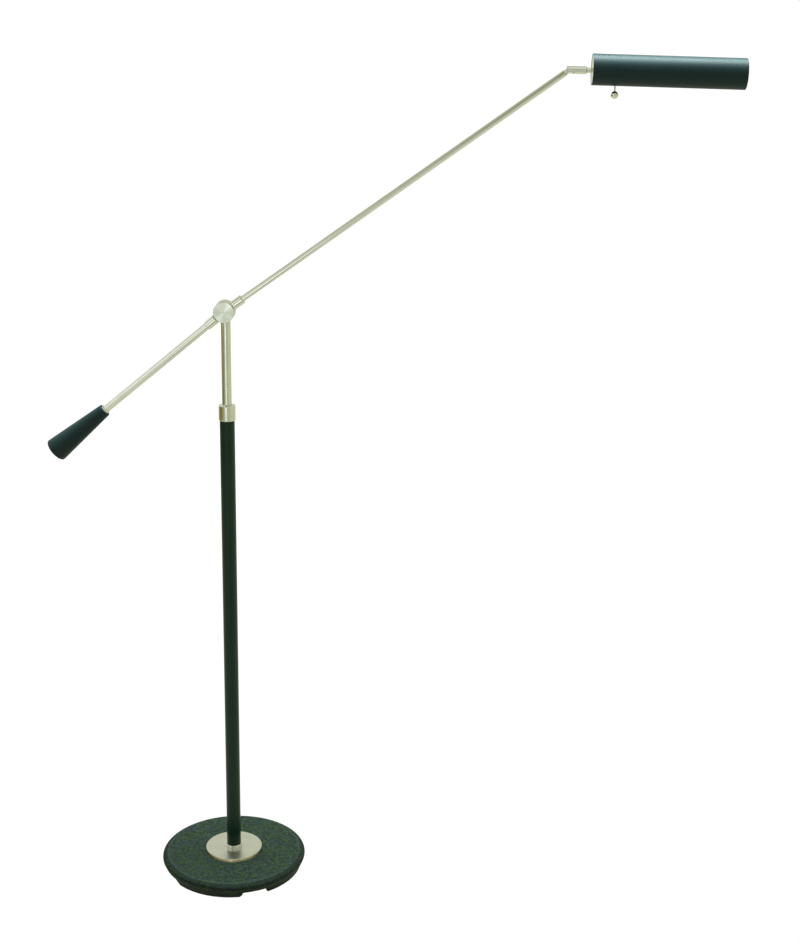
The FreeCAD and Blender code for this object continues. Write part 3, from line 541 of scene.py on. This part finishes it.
# ------------------------------------------------------------------ base
NOTCHES = (-148.0, -65.5, 32.0, 114.5)     # directions of the four notches, in two opposite pairs


def notch_floor(t):
    """Height of the skirt's lower edge at a distance t from a notch's middle, mm."""
    x = (23.55 - abs(t)) / (23.55 - 20.5)
    w = 0.16

    def low(v):
        return 0.0 if v < -w else ((v + w) ** 2 / (4 * w) if v < w else v)
    x = low(x)
    x = 1.0 - low(1.0 - x)
    return 1.5 + 8.0 * x


def wall_radius(z):
    return 120.7 + (z - 1.5) * 6.6647 / 14.9797


def casting():
    """The cast base in rings of columns that follow the notches: wall, lip, bevel, rim and slightly conical top."""
    side = [0, 1.5, 3, 4.5, 6, 7.2, 8.0] + [8.4 + 0.25 * k for k in range(23)] + [14.6, 15.5, 16.5, 18] + [19.5 + 1.5 * k for k in range(22)]
    cols = []
    for i, at in enumerate(NOTCHES):
        before = (at - NOTCHES[i - 1]) % 360.0 / 2.0
        after = (NOTCHES[(i + 1) % 4] - at) % 360.0 / 2.0
        offs = [-h for h in reversed(side[1:]) if h < before - 0.7] + [h for h in side if h < after - 0.7] + [after]
        for o in offs:
            cols.append((at + o, o))
    verts, rings = [], []

    def ring(fn):
        idx = []
        for ang, o in cols:
            r, z = fn(math.radians(o))
            t = math.radians(ang)
            idx.append(len(verts))
            verts.append((r * math.cos(t) * MM, r * math.sin(t) * MM, z * MM))
        rings.append(idx)

    def edge(r, o):
        return notch_floor(r * math.sin(o))

    ring(lambda o: (5.3, 10.0))
    for r in (12, 20, 35, 50, 65, 80, 95, 104):
        ring(lambda o, r=r: (r, 10.0))
    # inner wall, from the ceiling's corner down to the edge
    for k in range(4):
        a = math.radians(90 * k / 3.0)
        ring(lambda o, a=a: (110.5 - 0.3 + 0.3 * math.sin(a), 10.0 - 0.3 + 0.3 * math.cos(a)))
    for f in (0.0, 0.5, 1.0):
        ring(lambda o, f=f: (110.5, (1 - f) * 9.66 + f * min(9.62, edge(110.5, o) + 0.10)))
    # the lower edge, slightly rounded on both sides
    ring(lambda o: (110.53, edge(110.53, o) + 0.03))
    ring(lambda o: (110.75, edge(110.75, o)))
    for r in (112.5, 115.0, 117.5):
        ring(lambda o, r=r: (r, edge(r, o)))
    ring(lambda o: (wall_radius(edge(121.9, o)) - 0.9, edge(121.2, o)))
    ring(lambda o: (wall_radius(edge(121.9, o)) - 0.40, edge(121.6, o) + 0.10))
    ring(lambda o: (wall_radius(edge(121.9, o)) - 0.10, edge(121.9, o) + 0.40))
    for k in range(9):
        f = k / 8.0
        ring(lambda o, f=f: ((lambda z: (wall_radius(z), z))((edge(122.0, o) + 0.9) * (1 - f) + 16.2 * f)))
    # lip, bevel and rim
    for k in range(17):
        a = math.radians(-23.98 + 88.29 * k / 16.0)
        ring(lambda o, a=a: (121.7 + 6.2 * math.cos(a), 19.0 + 6.2 * math.sin(a)))
    for f in (0.33, 0.67):
        ring(lambda o, f=f: (124.3877 - 5.0207 * f, 24.5872 + 2.4151 * f))
    for k in range(5):
        a = math.radians(64.31 + 25.69 * k / 4.0)
        ring(lambda o, a=a: (118.5 + 2.0 * math.cos(a), 25.2 + 2.0 * math.sin(a)))
    for r in (116, 108, 98, 86, 74, 62, 54):
        ring(lambda o, r=r: (r, 28.5 - (r - 51.5) * 1.3 / 67.0))
    for r in (51.5, 34, 20, 10, 5.3):
        ring(lambda o, r=r: (r, 28.5))
    faces = []
    m, n = len(rings), len(cols)
    for i in range(m):
        A, B = rings[i], rings[(i + 1) % m]
        for k in range(n):
            k2 = (k + 1) % n
            faces.append((A[k], B[k], B[k2], A[k2]))
    return make_object("cast_base", verts, faces, F_UP)


piece(casting(), M_BASE, "base", "base_black", "base_casting")
keep("floor_pads", M_FELT)
piece(lathe("nickel_base_plate", [(28.5, 5.3), (28.5, 51.5, 0.15), (34.0, 49.9, 0.6), (34.0, 5.3)], 256, F_UP, step=9.0), M_PLATE, "base", "nickel", "base_plate")
piece(lathe("nickel_foot_ring", [(34.0, 12.5), (34.0, 14.35, 0.25), (39.8, 14.35, 1.15), (39.8, 12.5, 0.15)], 160, F_UP, step=2.0), M_RING, "base", "nickel", "foot_ring")

# ------------------------------------------------------------------ pole and collar
piece(lathe("black_pole", [(34.0, 11.0), (34.0, 12.5, 0.2), (845.0, 12.5, 0.2), (845.0, 11.0)], 128, F_UP, step=40.0), M_POLE, "base", "pole_black", "pole_tube")
col = lathe("nickel_collar_piece", [(832.0, 12.5), (832.0, 13.95, 0.7), (858.0, 13.95, 1.3), (858.0, 8.05, 0.3), (845.0, 8.05), (845.0, 12.5)], 160, F_UP, step=3.0)
cut(col, [rod("c1", 2.0, 5.0, 17.0, axis_frame((0, 0, 0.8515), (0, 1, 0), (1, 0, 0)), 48)])
piece(col, M_COLLAR, "base", "nickel", "pole_collar")
piece(lathe("nickel_post_tube", [(789.6, 6.0), (789.6, 8.0, 0.2), (999.8, 8.0, 0.2), (999.8, 6.0)], 128, F_UP, step=14.0), M_POST, "post", "nickel", "post_tube")

# ------------------------------------------------------------------ pivot drum
LONG_STUD = axis_frame((0, ARM_Y, PIVOT.z), (math.cos(LONG_A), 0, math.sin(LONG_A)), (0, -1, 0))
SHORT_STUD = axis_frame((0, ARM_Y, PIVOT.z), (math.cos(SHORT_A), 0, math.sin(SHORT_A)), (0, -1, 0))
face = [(-22.7, 0), (-22.7, 0.9, 0.1), (-23.5, 0.9, 0.25), (-23.5, 17.25, 1.0), (-8.5, 17.25, 0.6), (-8.5, 3.0, 0.2), (-18.0, 3.0), (-18.0, 0)]
drum = lathe("nickel_pivot_drum", face, 192, F_PIVOT, closed=False, step=1.2)
cut(drum, [rod("c1", 4.05, 10.5, 22.5, LONG_STUD), rod("c2", 4.05, 10.5, 22.5, SHORT_STUD)])
piece(drum, M_FACE, "arm", "nickel", "pivot_front_disc")
keep("pivot_rear_disc", M_NICKEL)

# ------------------------------------------------------------------ arms
for label, matrix, bore, node in (("nickel_long_ferrule", F_LONG, 5.0, "long_ferrule"), ("nickel_short_ferrule", F_SHORT, 6.35, "short_ferrule")):
    piece(
        lathe(
            label,
            [(10.5, 2.6), (10.5, 4.0, 0.2), (18.4, 4.0, 0.3), (18.4, 7.75, 0.55), (37.3, 7.75, 0.75), (37.3, bore, 0.15), (22.0, bore), (22.0, 2.6)],
            128, matrix, step=2.0,
        ),
        M_FERRULE, "arm", "nickel", node,
    )
piece(lathe("nickel_long_arm", [(22.0, 4.0), (22.0, 5.0), (661.4, 5.0, 0.25), (661.4, 4.0)], 96, F_LONG, step=16.0), M_TUBE, "arm", "nickel", "long_arm_tube")
piece(lathe("nickel_short_arm", [(22.0, 5.15), (22.0, 6.35), (303.3, 6.35), (303.3, 5.15)], 112, F_SHORT, step=16.0), M_TUBE, "arm", "nickel", "short_arm_tube")
piece(lathe("nickel_weight_ring", [(260.7, 6.35), (260.7, 7.75, 0.75), (263.3, 7.75, 0.2), (263.3, 6.35)], 112, F_SHORT), M_FERRULE, "arm", "nickel", "weight_ring")

def weight():
    """The cone of the counterweight: small end rounded, big end turned over in a soft lip."""
    pts = [(303.3, 0), (303.3, 6.35), (263.3, 6.35, 0.2), (263.3, 10.8, 0.9), (374.0, 20.49, 2.6), (376.2, 17.6, 1.6), (376.2, 0)]
    ob = lathe("black_counterweight", pts, 192, F_SHORT, closed=False, step=6.0)
    c = rod("c1", 2.0, 4.0, 24.0, axis_frame(F_SHORT @ Vector((0, 0, 0.2853)), F_SHORT.to_3x3() @ Vector((-1, 0, 0)), F_SHORT.to_3x3() @ Vector((0, 0, 1))), 48)
    return cut(ob, [c])


piece(weight(), M_WEIGHT, "arm", "weight_black", "counterweight")

# ------------------------------------------------------------------ head
bar = lathe(
    "nickel_knuckle_barrel",
    [(-3.9, 0), (-3.9, 6.0, 0.75), (26.3, 6.0, 0.95), (26.3, 3.5), (5.2, 3.5), (5.2, 2.0), (0, 2.0), (0, 0)],
    160, F_HEAD, closed=False, step=2.0,
)
g = math.radians(48.0)
cut(bar, [
    block("c1", (-10.0, -2.5, -5.0), (10.0, 2.5, 4.6), axis_frame(HINGE, (math.cos(DROOP), 0, -math.sin(DROOP)), (0, 0, 1))),
    rod("c2", 1.5, -10.0, 10.0, axis_frame(HINGE, (0, 1, 0), (1, 0, 0)), 48),
    rod("c3", 1.25, 0.0, 8.0, axis_frame(F_HEAD @ Vector((0, 0, 0.0066)), F_HEAD.to_3x3() @ Vector((math.cos(g), math.sin(g), 0)), F_HEAD.to_3x3() @ Vector((0, 0, 1))), 48),
])
piece(bar, M_HEAD, "knuckle", "nickel", "knuckle_barrel")
piece(
    lathe("nickel_neck", [(5.2, 2.0), (5.2, 3.5), (26.3, 3.5), (26.3, 4.6, 0.3), (27.5, 4.1, 0.3), (35.0, 4.1), (35.0, 3.5), (43.5, 3.5), (43.5, 2.0)], 96, F_HEAD, step=3.0),
    M_HEAD, "knuckle", "nickel", "shade_neck",
)


def shell():
    """Thin tube with a light slot between two angles, in a grid whose lines follow the slot's sides."""
    n = 240
    a0, a1 = 90.0, 174.0       # the slot's sides: straight down and towards the back
    ang = [1.5 * k for k in range(n)]
    xs = [34.9, 35.1, 35.4, 36.5, 40, 48, 56, 64, 72, 80, 88, 94, 98.0] + [98.0 + 164.0 * k / 26 for k in range(1, 26)] + [262.0, 265, 268.5, 271.0, 271.9, 272.3, 272.5]
    bm = bmesh.new()
    grid = {}
    for side, rad in (("o", 24.0), ("i", 23.1)):
        for i, x in enumerate(xs):
            for k, d in enumerate(ang):
                r = rad
                if side == "o":   # the lip at each end is a little rounded
                    e = min(x - 34.9, 272.5 - x)
                    if e < 0.5:
                        r = 24.0 - 0.28 * (1 - math.sqrt(max(0.0, 1 - (1 - e / 0.5) ** 2)))
                t = math.radians(d)
                grid[side, i, k] = bm.verts.new((r * math.cos(t) * MM, r * math.sin(t) * MM, x * MM))
    i0, i1 = xs.index(98.0), xs.index(262.0)
    k0, k1 = int(a0 / 1.5), int(a1 / 1.5)

    def open_cell(i, k):
        return i0 <= i < i1 and k0 <= k < k1
    for i in range(len(xs) - 1):
        for k in range(n):
            k2 = (k + 1) % n
            if open_cell(i, k):
                continue
            for side in "oi":
                q = [grid[side, i, k], grid[side, i + 1, k], grid[side, i + 1, k2], grid[side, i, k2]]
                bm.faces.new(q if side == "o" else q[::-1])
    for k in range(n):
        k2 = (k + 1) % n
        bm.faces.new([grid["o", 0, k], grid["i", 0, k], grid["i", 0, k2], grid["o", 0, k2]])
        e = len(xs) - 1
        bm.faces.new([grid["o", e, k], grid["o", e, k2], grid["i", e, k2], grid["i", e, k]])
    rim = []
    for i in range(i0, i1):
        for k in (k0, k1):
            f = bm.faces.new([grid["o", i, k], grid["i", i, k], grid["i", i + 1, k], grid["o", i + 1, k]])
    for k in range(k0, k1):
        for i in (i0, i1):
            f = bm.faces.new([grid["o", i, k], grid["o", i, k + 1], grid["i", i, k + 1], grid["i", i, k]])
    bmesh.ops.recalc_face_normals(bm, faces=bm.faces)
    loops = set()
    for i in range(i0, i1):
        for k in (k0, k1):
            for s in "oi":
                loops.add(bm.edges.get([grid[s, i, k], grid[s, i + 1, k]]))
    for k in range(k0, k1):
        for i in (i0, i1):
            for s in "oi":
                loops.add(bm.edges.get([grid[s, i, k], grid[s, i, k + 1]]))
    loops.discard(None)
    bmesh.ops.bevel(bm, geom=list(loops), offset=0.00018, offset_type="OFFSET", segments=2, profile=0.5, affect="EDGES")
    bmesh.ops.delete(bm, geom=[v for v in bm.verts if not v.link_faces], context="VERTS")
    me = bpy.data.meshes.new("black_shade")
    bm.to_mesh(me)
    bm.free()
    ob = bpy.data.objects.new("black_shade", me)
    bpy.context.scene.collection.objects.link(ob)
    ob.matrix_world = F_SHADE
    bpy.context.view_layer.update()
    return cut(ob, [rod("c1", 3.2, 15.0, 35.0, axis_frame(F_SHADE @ Vector((0, 0, 0.0719)), F_SHADE.to_3x3() @ Vector((0, 1, 0)), F_SHADE.to_3x3() @ Vector((0, 0, 1))), 64)])


piece(shell(), M_SHADE, "shade", "shade_black", "shade_shell")
end_plate = lathe("nickel_shade_plate", [(35.2, 0), (35.2, 23.1, 0.35), (41.9, 23.1), (41.9, 22.1), (36.7, 22.1), (36.7, 0)], 192, F_SHADE, closed=False, step=2.0)
cut(end_plate, [rod("c1", 3.55, 30.0, 45.0, F_HEAD, 64)])
piece(end_plate, M_HEAD, "shade", "nickel", "shade_inner_plate")
piece(
    lathe("black_shade_end", [(269.9, 0), (271.1, 0), (271.1, 23.1, 0.4), (264.5, 23.1), (264.5, 22.1), (269.9, 22.1), (269.9, 0)], 192, F_SHADE, closed=False, step=3.0),
    M_SHADE_END, "shade", "shade_black", "shade_outer_plate",
)

# Ball knob: a full ball with the spindle's bore from above.
BALL = axis_frame(F_SHADE @ Vector((0, 0.03755, 0.0719)), F_SHADE.to_3x3() @ Vector((0, 1, 0)), F_SHADE.to_3x3() @ Vector((0, 0, 1)))
prof = []
for k in range(33):
    a = math.pi / 2 - (math.pi / 2 + math.acos(1.45 / 6.1)) * k / 32.0
    prof.append((6.1 * math.sin(a) * MM, 6.1 * math.cos(a) * MM if k else 0.0))
top = prof[-1]
prof += [(-0.0029, 0.00145), (-0.0029, 0.0)]
piece(lathe("nickel_ball_knob", prof, 96, BALL, closed=False, ready=True), M_HEAD, "knob", "nickel", "ball_knob")

# ------------------------------------------------------------------ CAD nodes that stay
for node, mat in (
    ("pole_foot_plug", M_ZINC), ("base_nipple", M_ZINC), ("base_washer", M_ZINC), ("base_nut", M_ZINC), ("cord_grommet", M_DARK),
    ("post_stop_screw", M_NICKEL), ("swivel_bushing", M_BRASS), ("pole_seat_plug", M_ZINC), ("thrust_washer", M_DARK), ("post_nipple", M_ZINC),
    ("pivot_stop_pin", M_ZINC), ("friction_washer", M_DARK), ("pivot_bolt", M_ZINC), ("pivot_spring_washer", M_ZINC), ("weight_set_screw", M_ZINC),
    ("arm_tongue", M_NICKEL), ("knuckle_pin", M_NICKEL), ("knuckle_grub_screw", M_ZINC), ("neck_spring_washer", M_ZINC), ("neck_nut", M_ZINC),
    ("reflector", M_LINER), ("socket_bracket", M_ZINC), ("lamp_socket", M_SOCKET), ("bulb_cap", M_CAPMETAL), ("bulb_glass", M_BULB),
    ("switch_housing", M_DARK), ("switch_spindle", M_NICKEL),
):
    keep(node, mat)

# ------------------------------------------------------------------ studio
scene = bpy.context.scene
scene.view_settings.view_transform = "Standard"
scene.view_settings.look = "None"
scene.view_settings.exposure = 0.0
scene.view_settings.gamma = 1.0

world = bpy.data.worlds.new("studio")
scene.world = world
world.use_nodes = True
wt = world.node_tree
for n in list(wt.nodes):
    wt.nodes.remove(n)


def wnode(kind, **kw):
    n = wt.nodes.new(kind)
    for k, v in kw.items():
        setattr(n, k, v)
    return n


def wmath(op, a, b=0.0):
    n = wnode("ShaderNodeMath", operation=op)
    for s, v in ((n.inputs[0], a), (n.inputs[1], b)):
        if hasattr(v, "is_output"):
            wt.links.new(v, s)
        else:
            s.default_value = v
    return n.outputs[0]


tc = wnode("ShaderNodeTexCoord")
sep = wnode("ShaderNodeSeparateXYZ")
wt.links.new(tc.outputs["Generated"], sep.inputs[0])
az = wmath("ARCTAN2", sep.outputs[0], wmath("MULTIPLY", sep.outputs[1], -1.0))   # 0 towards the viewer, + to the right
azn = wmath("ADD", wmath("DIVIDE", az, 2 * math.pi), 0.5)

# Light round the lamp by direction, in degrees from the viewer, + to the right: the dim room beyond the pale floor,
# the walls above it, and high up.
FAR = [
    (-180, (0.70, 0.74, 0.60)), (-90, (0.20, 0.22, 0.06)), (-58, (0.36, 0.30, 0.06)), (-33, (0.50, 0.46, 0.30)),
    (-14, (0.92, 1.00, 1.00)), (4, (0.66, 0.75, 0.74)), (24, (0.52, 0.58, 0.44)), (70, (0.70, 0.78, 0.48)), (180, (0.70, 0.74, 0.60)),
]
WALLS = [
    (-180, (0.70, 0.74, 0.60)), (-150, (0.95, 0.98, 0.88)), (-118, (1.40, 1.45, 1.38)), (-88, (0.70, 0.73, 0.60)), (-56, (1.25, 1.32, 1.26)),
    (-34, (1.20, 1.28, 1.22)), (-19, (0.36, 0.34, 0.18)), (-7, (0.12, 0.11, 0.03)), (5, (0.56, 0.58, 0.48)), (100, (0.76, 0.80, 0.66)), (180, (0.70, 0.74, 0.60)),
]
HIGH = [
    (-180, (0.70, 0.74, 0.60)), (-125, (0.62, 0.66, 0.52)), (-88, (0.76, 0.80, 0.70)), (-48, (0.34, 0.34, 0.16)),
    (-18, (0.58, 0.60, 0.44)), (10, (0.90, 1.00, 0.92)), (90, (0.80, 0.84, 0.72)), (180, (0.70, 0.74, 0.60)),
]
NEAR = (0.84, 0.86, 0.67)


def fill_ramp(node, stops):
    e = node.color_ramp.elements
    for i, (deg, c) in enumerate(stops):
        q = deg / 360.0 + 0.5
        if i >= len(e):
            e.new(q)
        e[i].position = q
        e[i].color = (*c, 1.0)


def wring(stops):
    n = wnode("ShaderNodeValToRGB")
    fill_ramp(n, stops)
    wt.links.new(azn, n.inputs["Fac"])
    return n.outputs["Color"]


def wblend(lo, hi, a, b):
    """From colour a below the height lo to colour b above hi."""
    lift = wnode("ShaderNodeMapRange", interpolation_type="SMOOTHSTEP")
    wt.links.new(sep.outputs[2], lift.inputs["Value"])
    lift.inputs["From Min"].default_value = lo
    lift.inputs["From Max"].default_value = hi
    n = wnode("ShaderNodeMix", data_type="RGBA")
    c = [i for i in n.inputs if i.enabled]
    for so, v in zip(c, (lift.outputs["Result"], a, b)):
        wt.links.new(v, so)
    return [o for o in n.outputs if o.enabled][0]


bg = wnode("ShaderNodeBackground")
wt.links.new(wblend(0.44, 0.64, wblend(0.05, 0.15, wring(FAR), wring(WALLS)), wring(HIGH)), bg.inputs["Color"])
bg.inputs["Strength"].default_value = 1.0
white = wnode("ShaderNodeBackground")
white.inputs["Color"].default_value = (1, 1, 1, 1)
white.inputs["Strength"].default_value = 1.05
lp = wnode("ShaderNodeLightPath")
mixw = wnode("ShaderNodeMixShader")
wt.links.new(lp.outputs["Is Camera Ray"], mixw.inputs[0])
wt.links.new(bg.outputs[0], mixw.inputs[1])
wt.links.new(white.outputs[0], mixw.inputs[2])
wo = wnode("ShaderNodeOutputWorld")
wt.links.new(mixw.outputs[0], wo.inputs["Surface"])

# Floor: white to the eye; in what the metal reflects a pale floor that runs out into the dim room, with painted shade
# under the base and a painted shadow patch in front of the lamp.
fm = bpy.data.materials.new("studio_floor")
fm.use_nodes = True
ft = fm.node_tree
for n in list(ft.nodes):
    ft.nodes.remove(n)
geo = ft.nodes.new("ShaderNodeNewGeometry")
fsep = ft.nodes.new("ShaderNodeSeparateXYZ")
ft.links.new(geo.outputs["Position"], fsep.inputs[0])


def fmath(op, a, b=0.0):
    n = ft.nodes.new("ShaderNodeMath")
    n.operation = op
    for s, v in ((n.inputs[0], a), (n.inputs[1], b)):
        if hasattr(v, "is_output"):
            ft.links.new(v, s)
        else:
            s.default_value = v
    return n.outputs[0]


def fsmooth(v, lo, hi):
    n = ft.nodes.new("ShaderNodeMapRange")
    n.interpolation_type = "SMOOTHSTEP"
    ft.links.new(v, n.inputs["Value"])
    n.inputs["From Min"].default_value = lo
    n.inputs["From Max"].default_value = hi
    return n.outputs["Result"]


faz = fmath("ADD", fmath("DIVIDE", fmath("ARCTAN2", fsep.outputs[0], fmath("MULTIPLY", fsep.outputs[1], -1.0)), 2 * math.pi), 0.5)
dist = fmath("SQRT", fmath("ADD", fmath("MULTIPLY", fsep.outputs[0], fsep.outputs[0]), fmath("MULTIPLY", fsep.outputs[1], fsep.outputs[1])))
ff = ft.nodes.new("ShaderNodeValToRGB")
fill_ramp(ff, FAR)
ft.links.new(faz, ff.inputs["Fac"])
fmixc = ft.nodes.new("ShaderNodeMix")
fmixc.data_type = "RGBA"
cs = [i for i in fmixc.inputs if i.enabled]
ft.links.new(fsmooth(dist, 1.5, 3.0), cs[0])
cs[1].default_value = (*NEAR, 1.0)
ft.links.new(ff.outputs["Color"], cs[2])
froom = ft.nodes.new("ShaderNodeEmission")
ft.links.new([o for o in fmixc.outputs if o.enabled][0], froom.inputs["Color"])
# a painted shadow: the floor is dimmer in a patch in front of the lamp, seen only in reflections
px, py = fmath("SUBTRACT", fsep.outputs[0], 0.42), fmath("SUBTRACT", fsep.outputs[1], -1.25)
painted_shadow_patch = fsmooth(fmath("SQRT", fmath("ADD", fmath("MULTIPLY", px, px), fmath("MULTIPLY", py, py))), 0.12, 0.62)
painted_shadow_patch = fmath("ADD", fmath("MULTIPLY", painted_shadow_patch, 0.58), 0.42)
# the emission falls to nothing under the base: painted shade
ft.links.new(fmath("MULTIPLY", fsmooth(dist, 0.112, 0.135), painted_shadow_patch), froom.inputs["Strength"])
fwhite = ft.nodes.new("ShaderNodeEmission")
fwhite.inputs["Color"].default_value = (1, 1, 1, 1)
fwhite.inputs["Strength"].default_value = 1.05
flp = ft.nodes.new("ShaderNodeLightPath")
fmix = ft.nodes.new("ShaderNodeMixShader")
ft.links.new(flp.outputs["Is Camera Ray"], fmix.inputs[0])
ft.links.new(froom.outputs[0], fmix.inputs[1])
ft.links.new(fwhite.outputs[0], fmix.inputs[2])
fo = ft.nodes.new("ShaderNodeOutputMaterial")
ft.links.new(fmix.outputs[0], fo.inputs["Surface"])

S = 60.0
floor = bench("studio_floor", [(-S, -S, -0.0002), (S, -S, -0.0002), (S, S, -0.0002), (-S, S, -0.0002)], [(0, 1, 2, 3)])
dress(floor, fm)


def softbox(name, at, target, sx, sy, radiance, color=(1, 1, 1)):
    d = bpy.data.lights.new(name, "AREA")
    d.shape = "RECTANGLE"
    d.size, d.size_y = sx, sy
    d.energy = radiance * math.pi * sx * sy
    d.color = color
    o = bpy.data.objects.new(name, d)
    scene.collection.objects.link(o)
    o.location = at
    o.rotation_mode = "QUATERNION"
    o.rotation_quaternion = (Vector(target) - Vector(at)).to_track_quat("-Z", "Y")
    o.visible_camera = False
    return o


over = softbox("overhead", (0.25, 0.32, 3.0), (0.25, 0.05, 0.6), 2.6, 1.00, 28.0, (0.78, 1.0, 1.0))
painted = bpy.data.collections.new("painted_pieces")
scene.collection.children.link(painted)
for ob in list(bpy.data.objects):
    if ob.type == "MESH" and ob.data.materials and ob.data.materials[0] in (M_BASE, M_POLE, M_WEIGHT, M_SHADE, M_SHADE_END):
        painted.objects.link(ob)
over.light_linking.receiver_collection = painted
glint = softbox("drum_glint", (0.20, -2.50, 1.18), (0.0, 0.0, 1.018), 0.25, 0.25, 11.0, (0.90, 1.0, 0.98))
turned = bpy.data.collections.new("turned_face")
scene.collection.children.link(turned)
for ob in list(bpy.data.objects):
    if ob.type == "MESH" and ob.data.materials and ob.data.materials[0] == M_FACE:
        turned.objects.link(ob)
glint.light_linking.receiver_collection = turned
softbox("low_front", (-0.25, -3.1, 0.40), (-0.25, 0.0, 0.40), 0.55, 0.76, 1.25, (0.92, 1.0, 0.96))
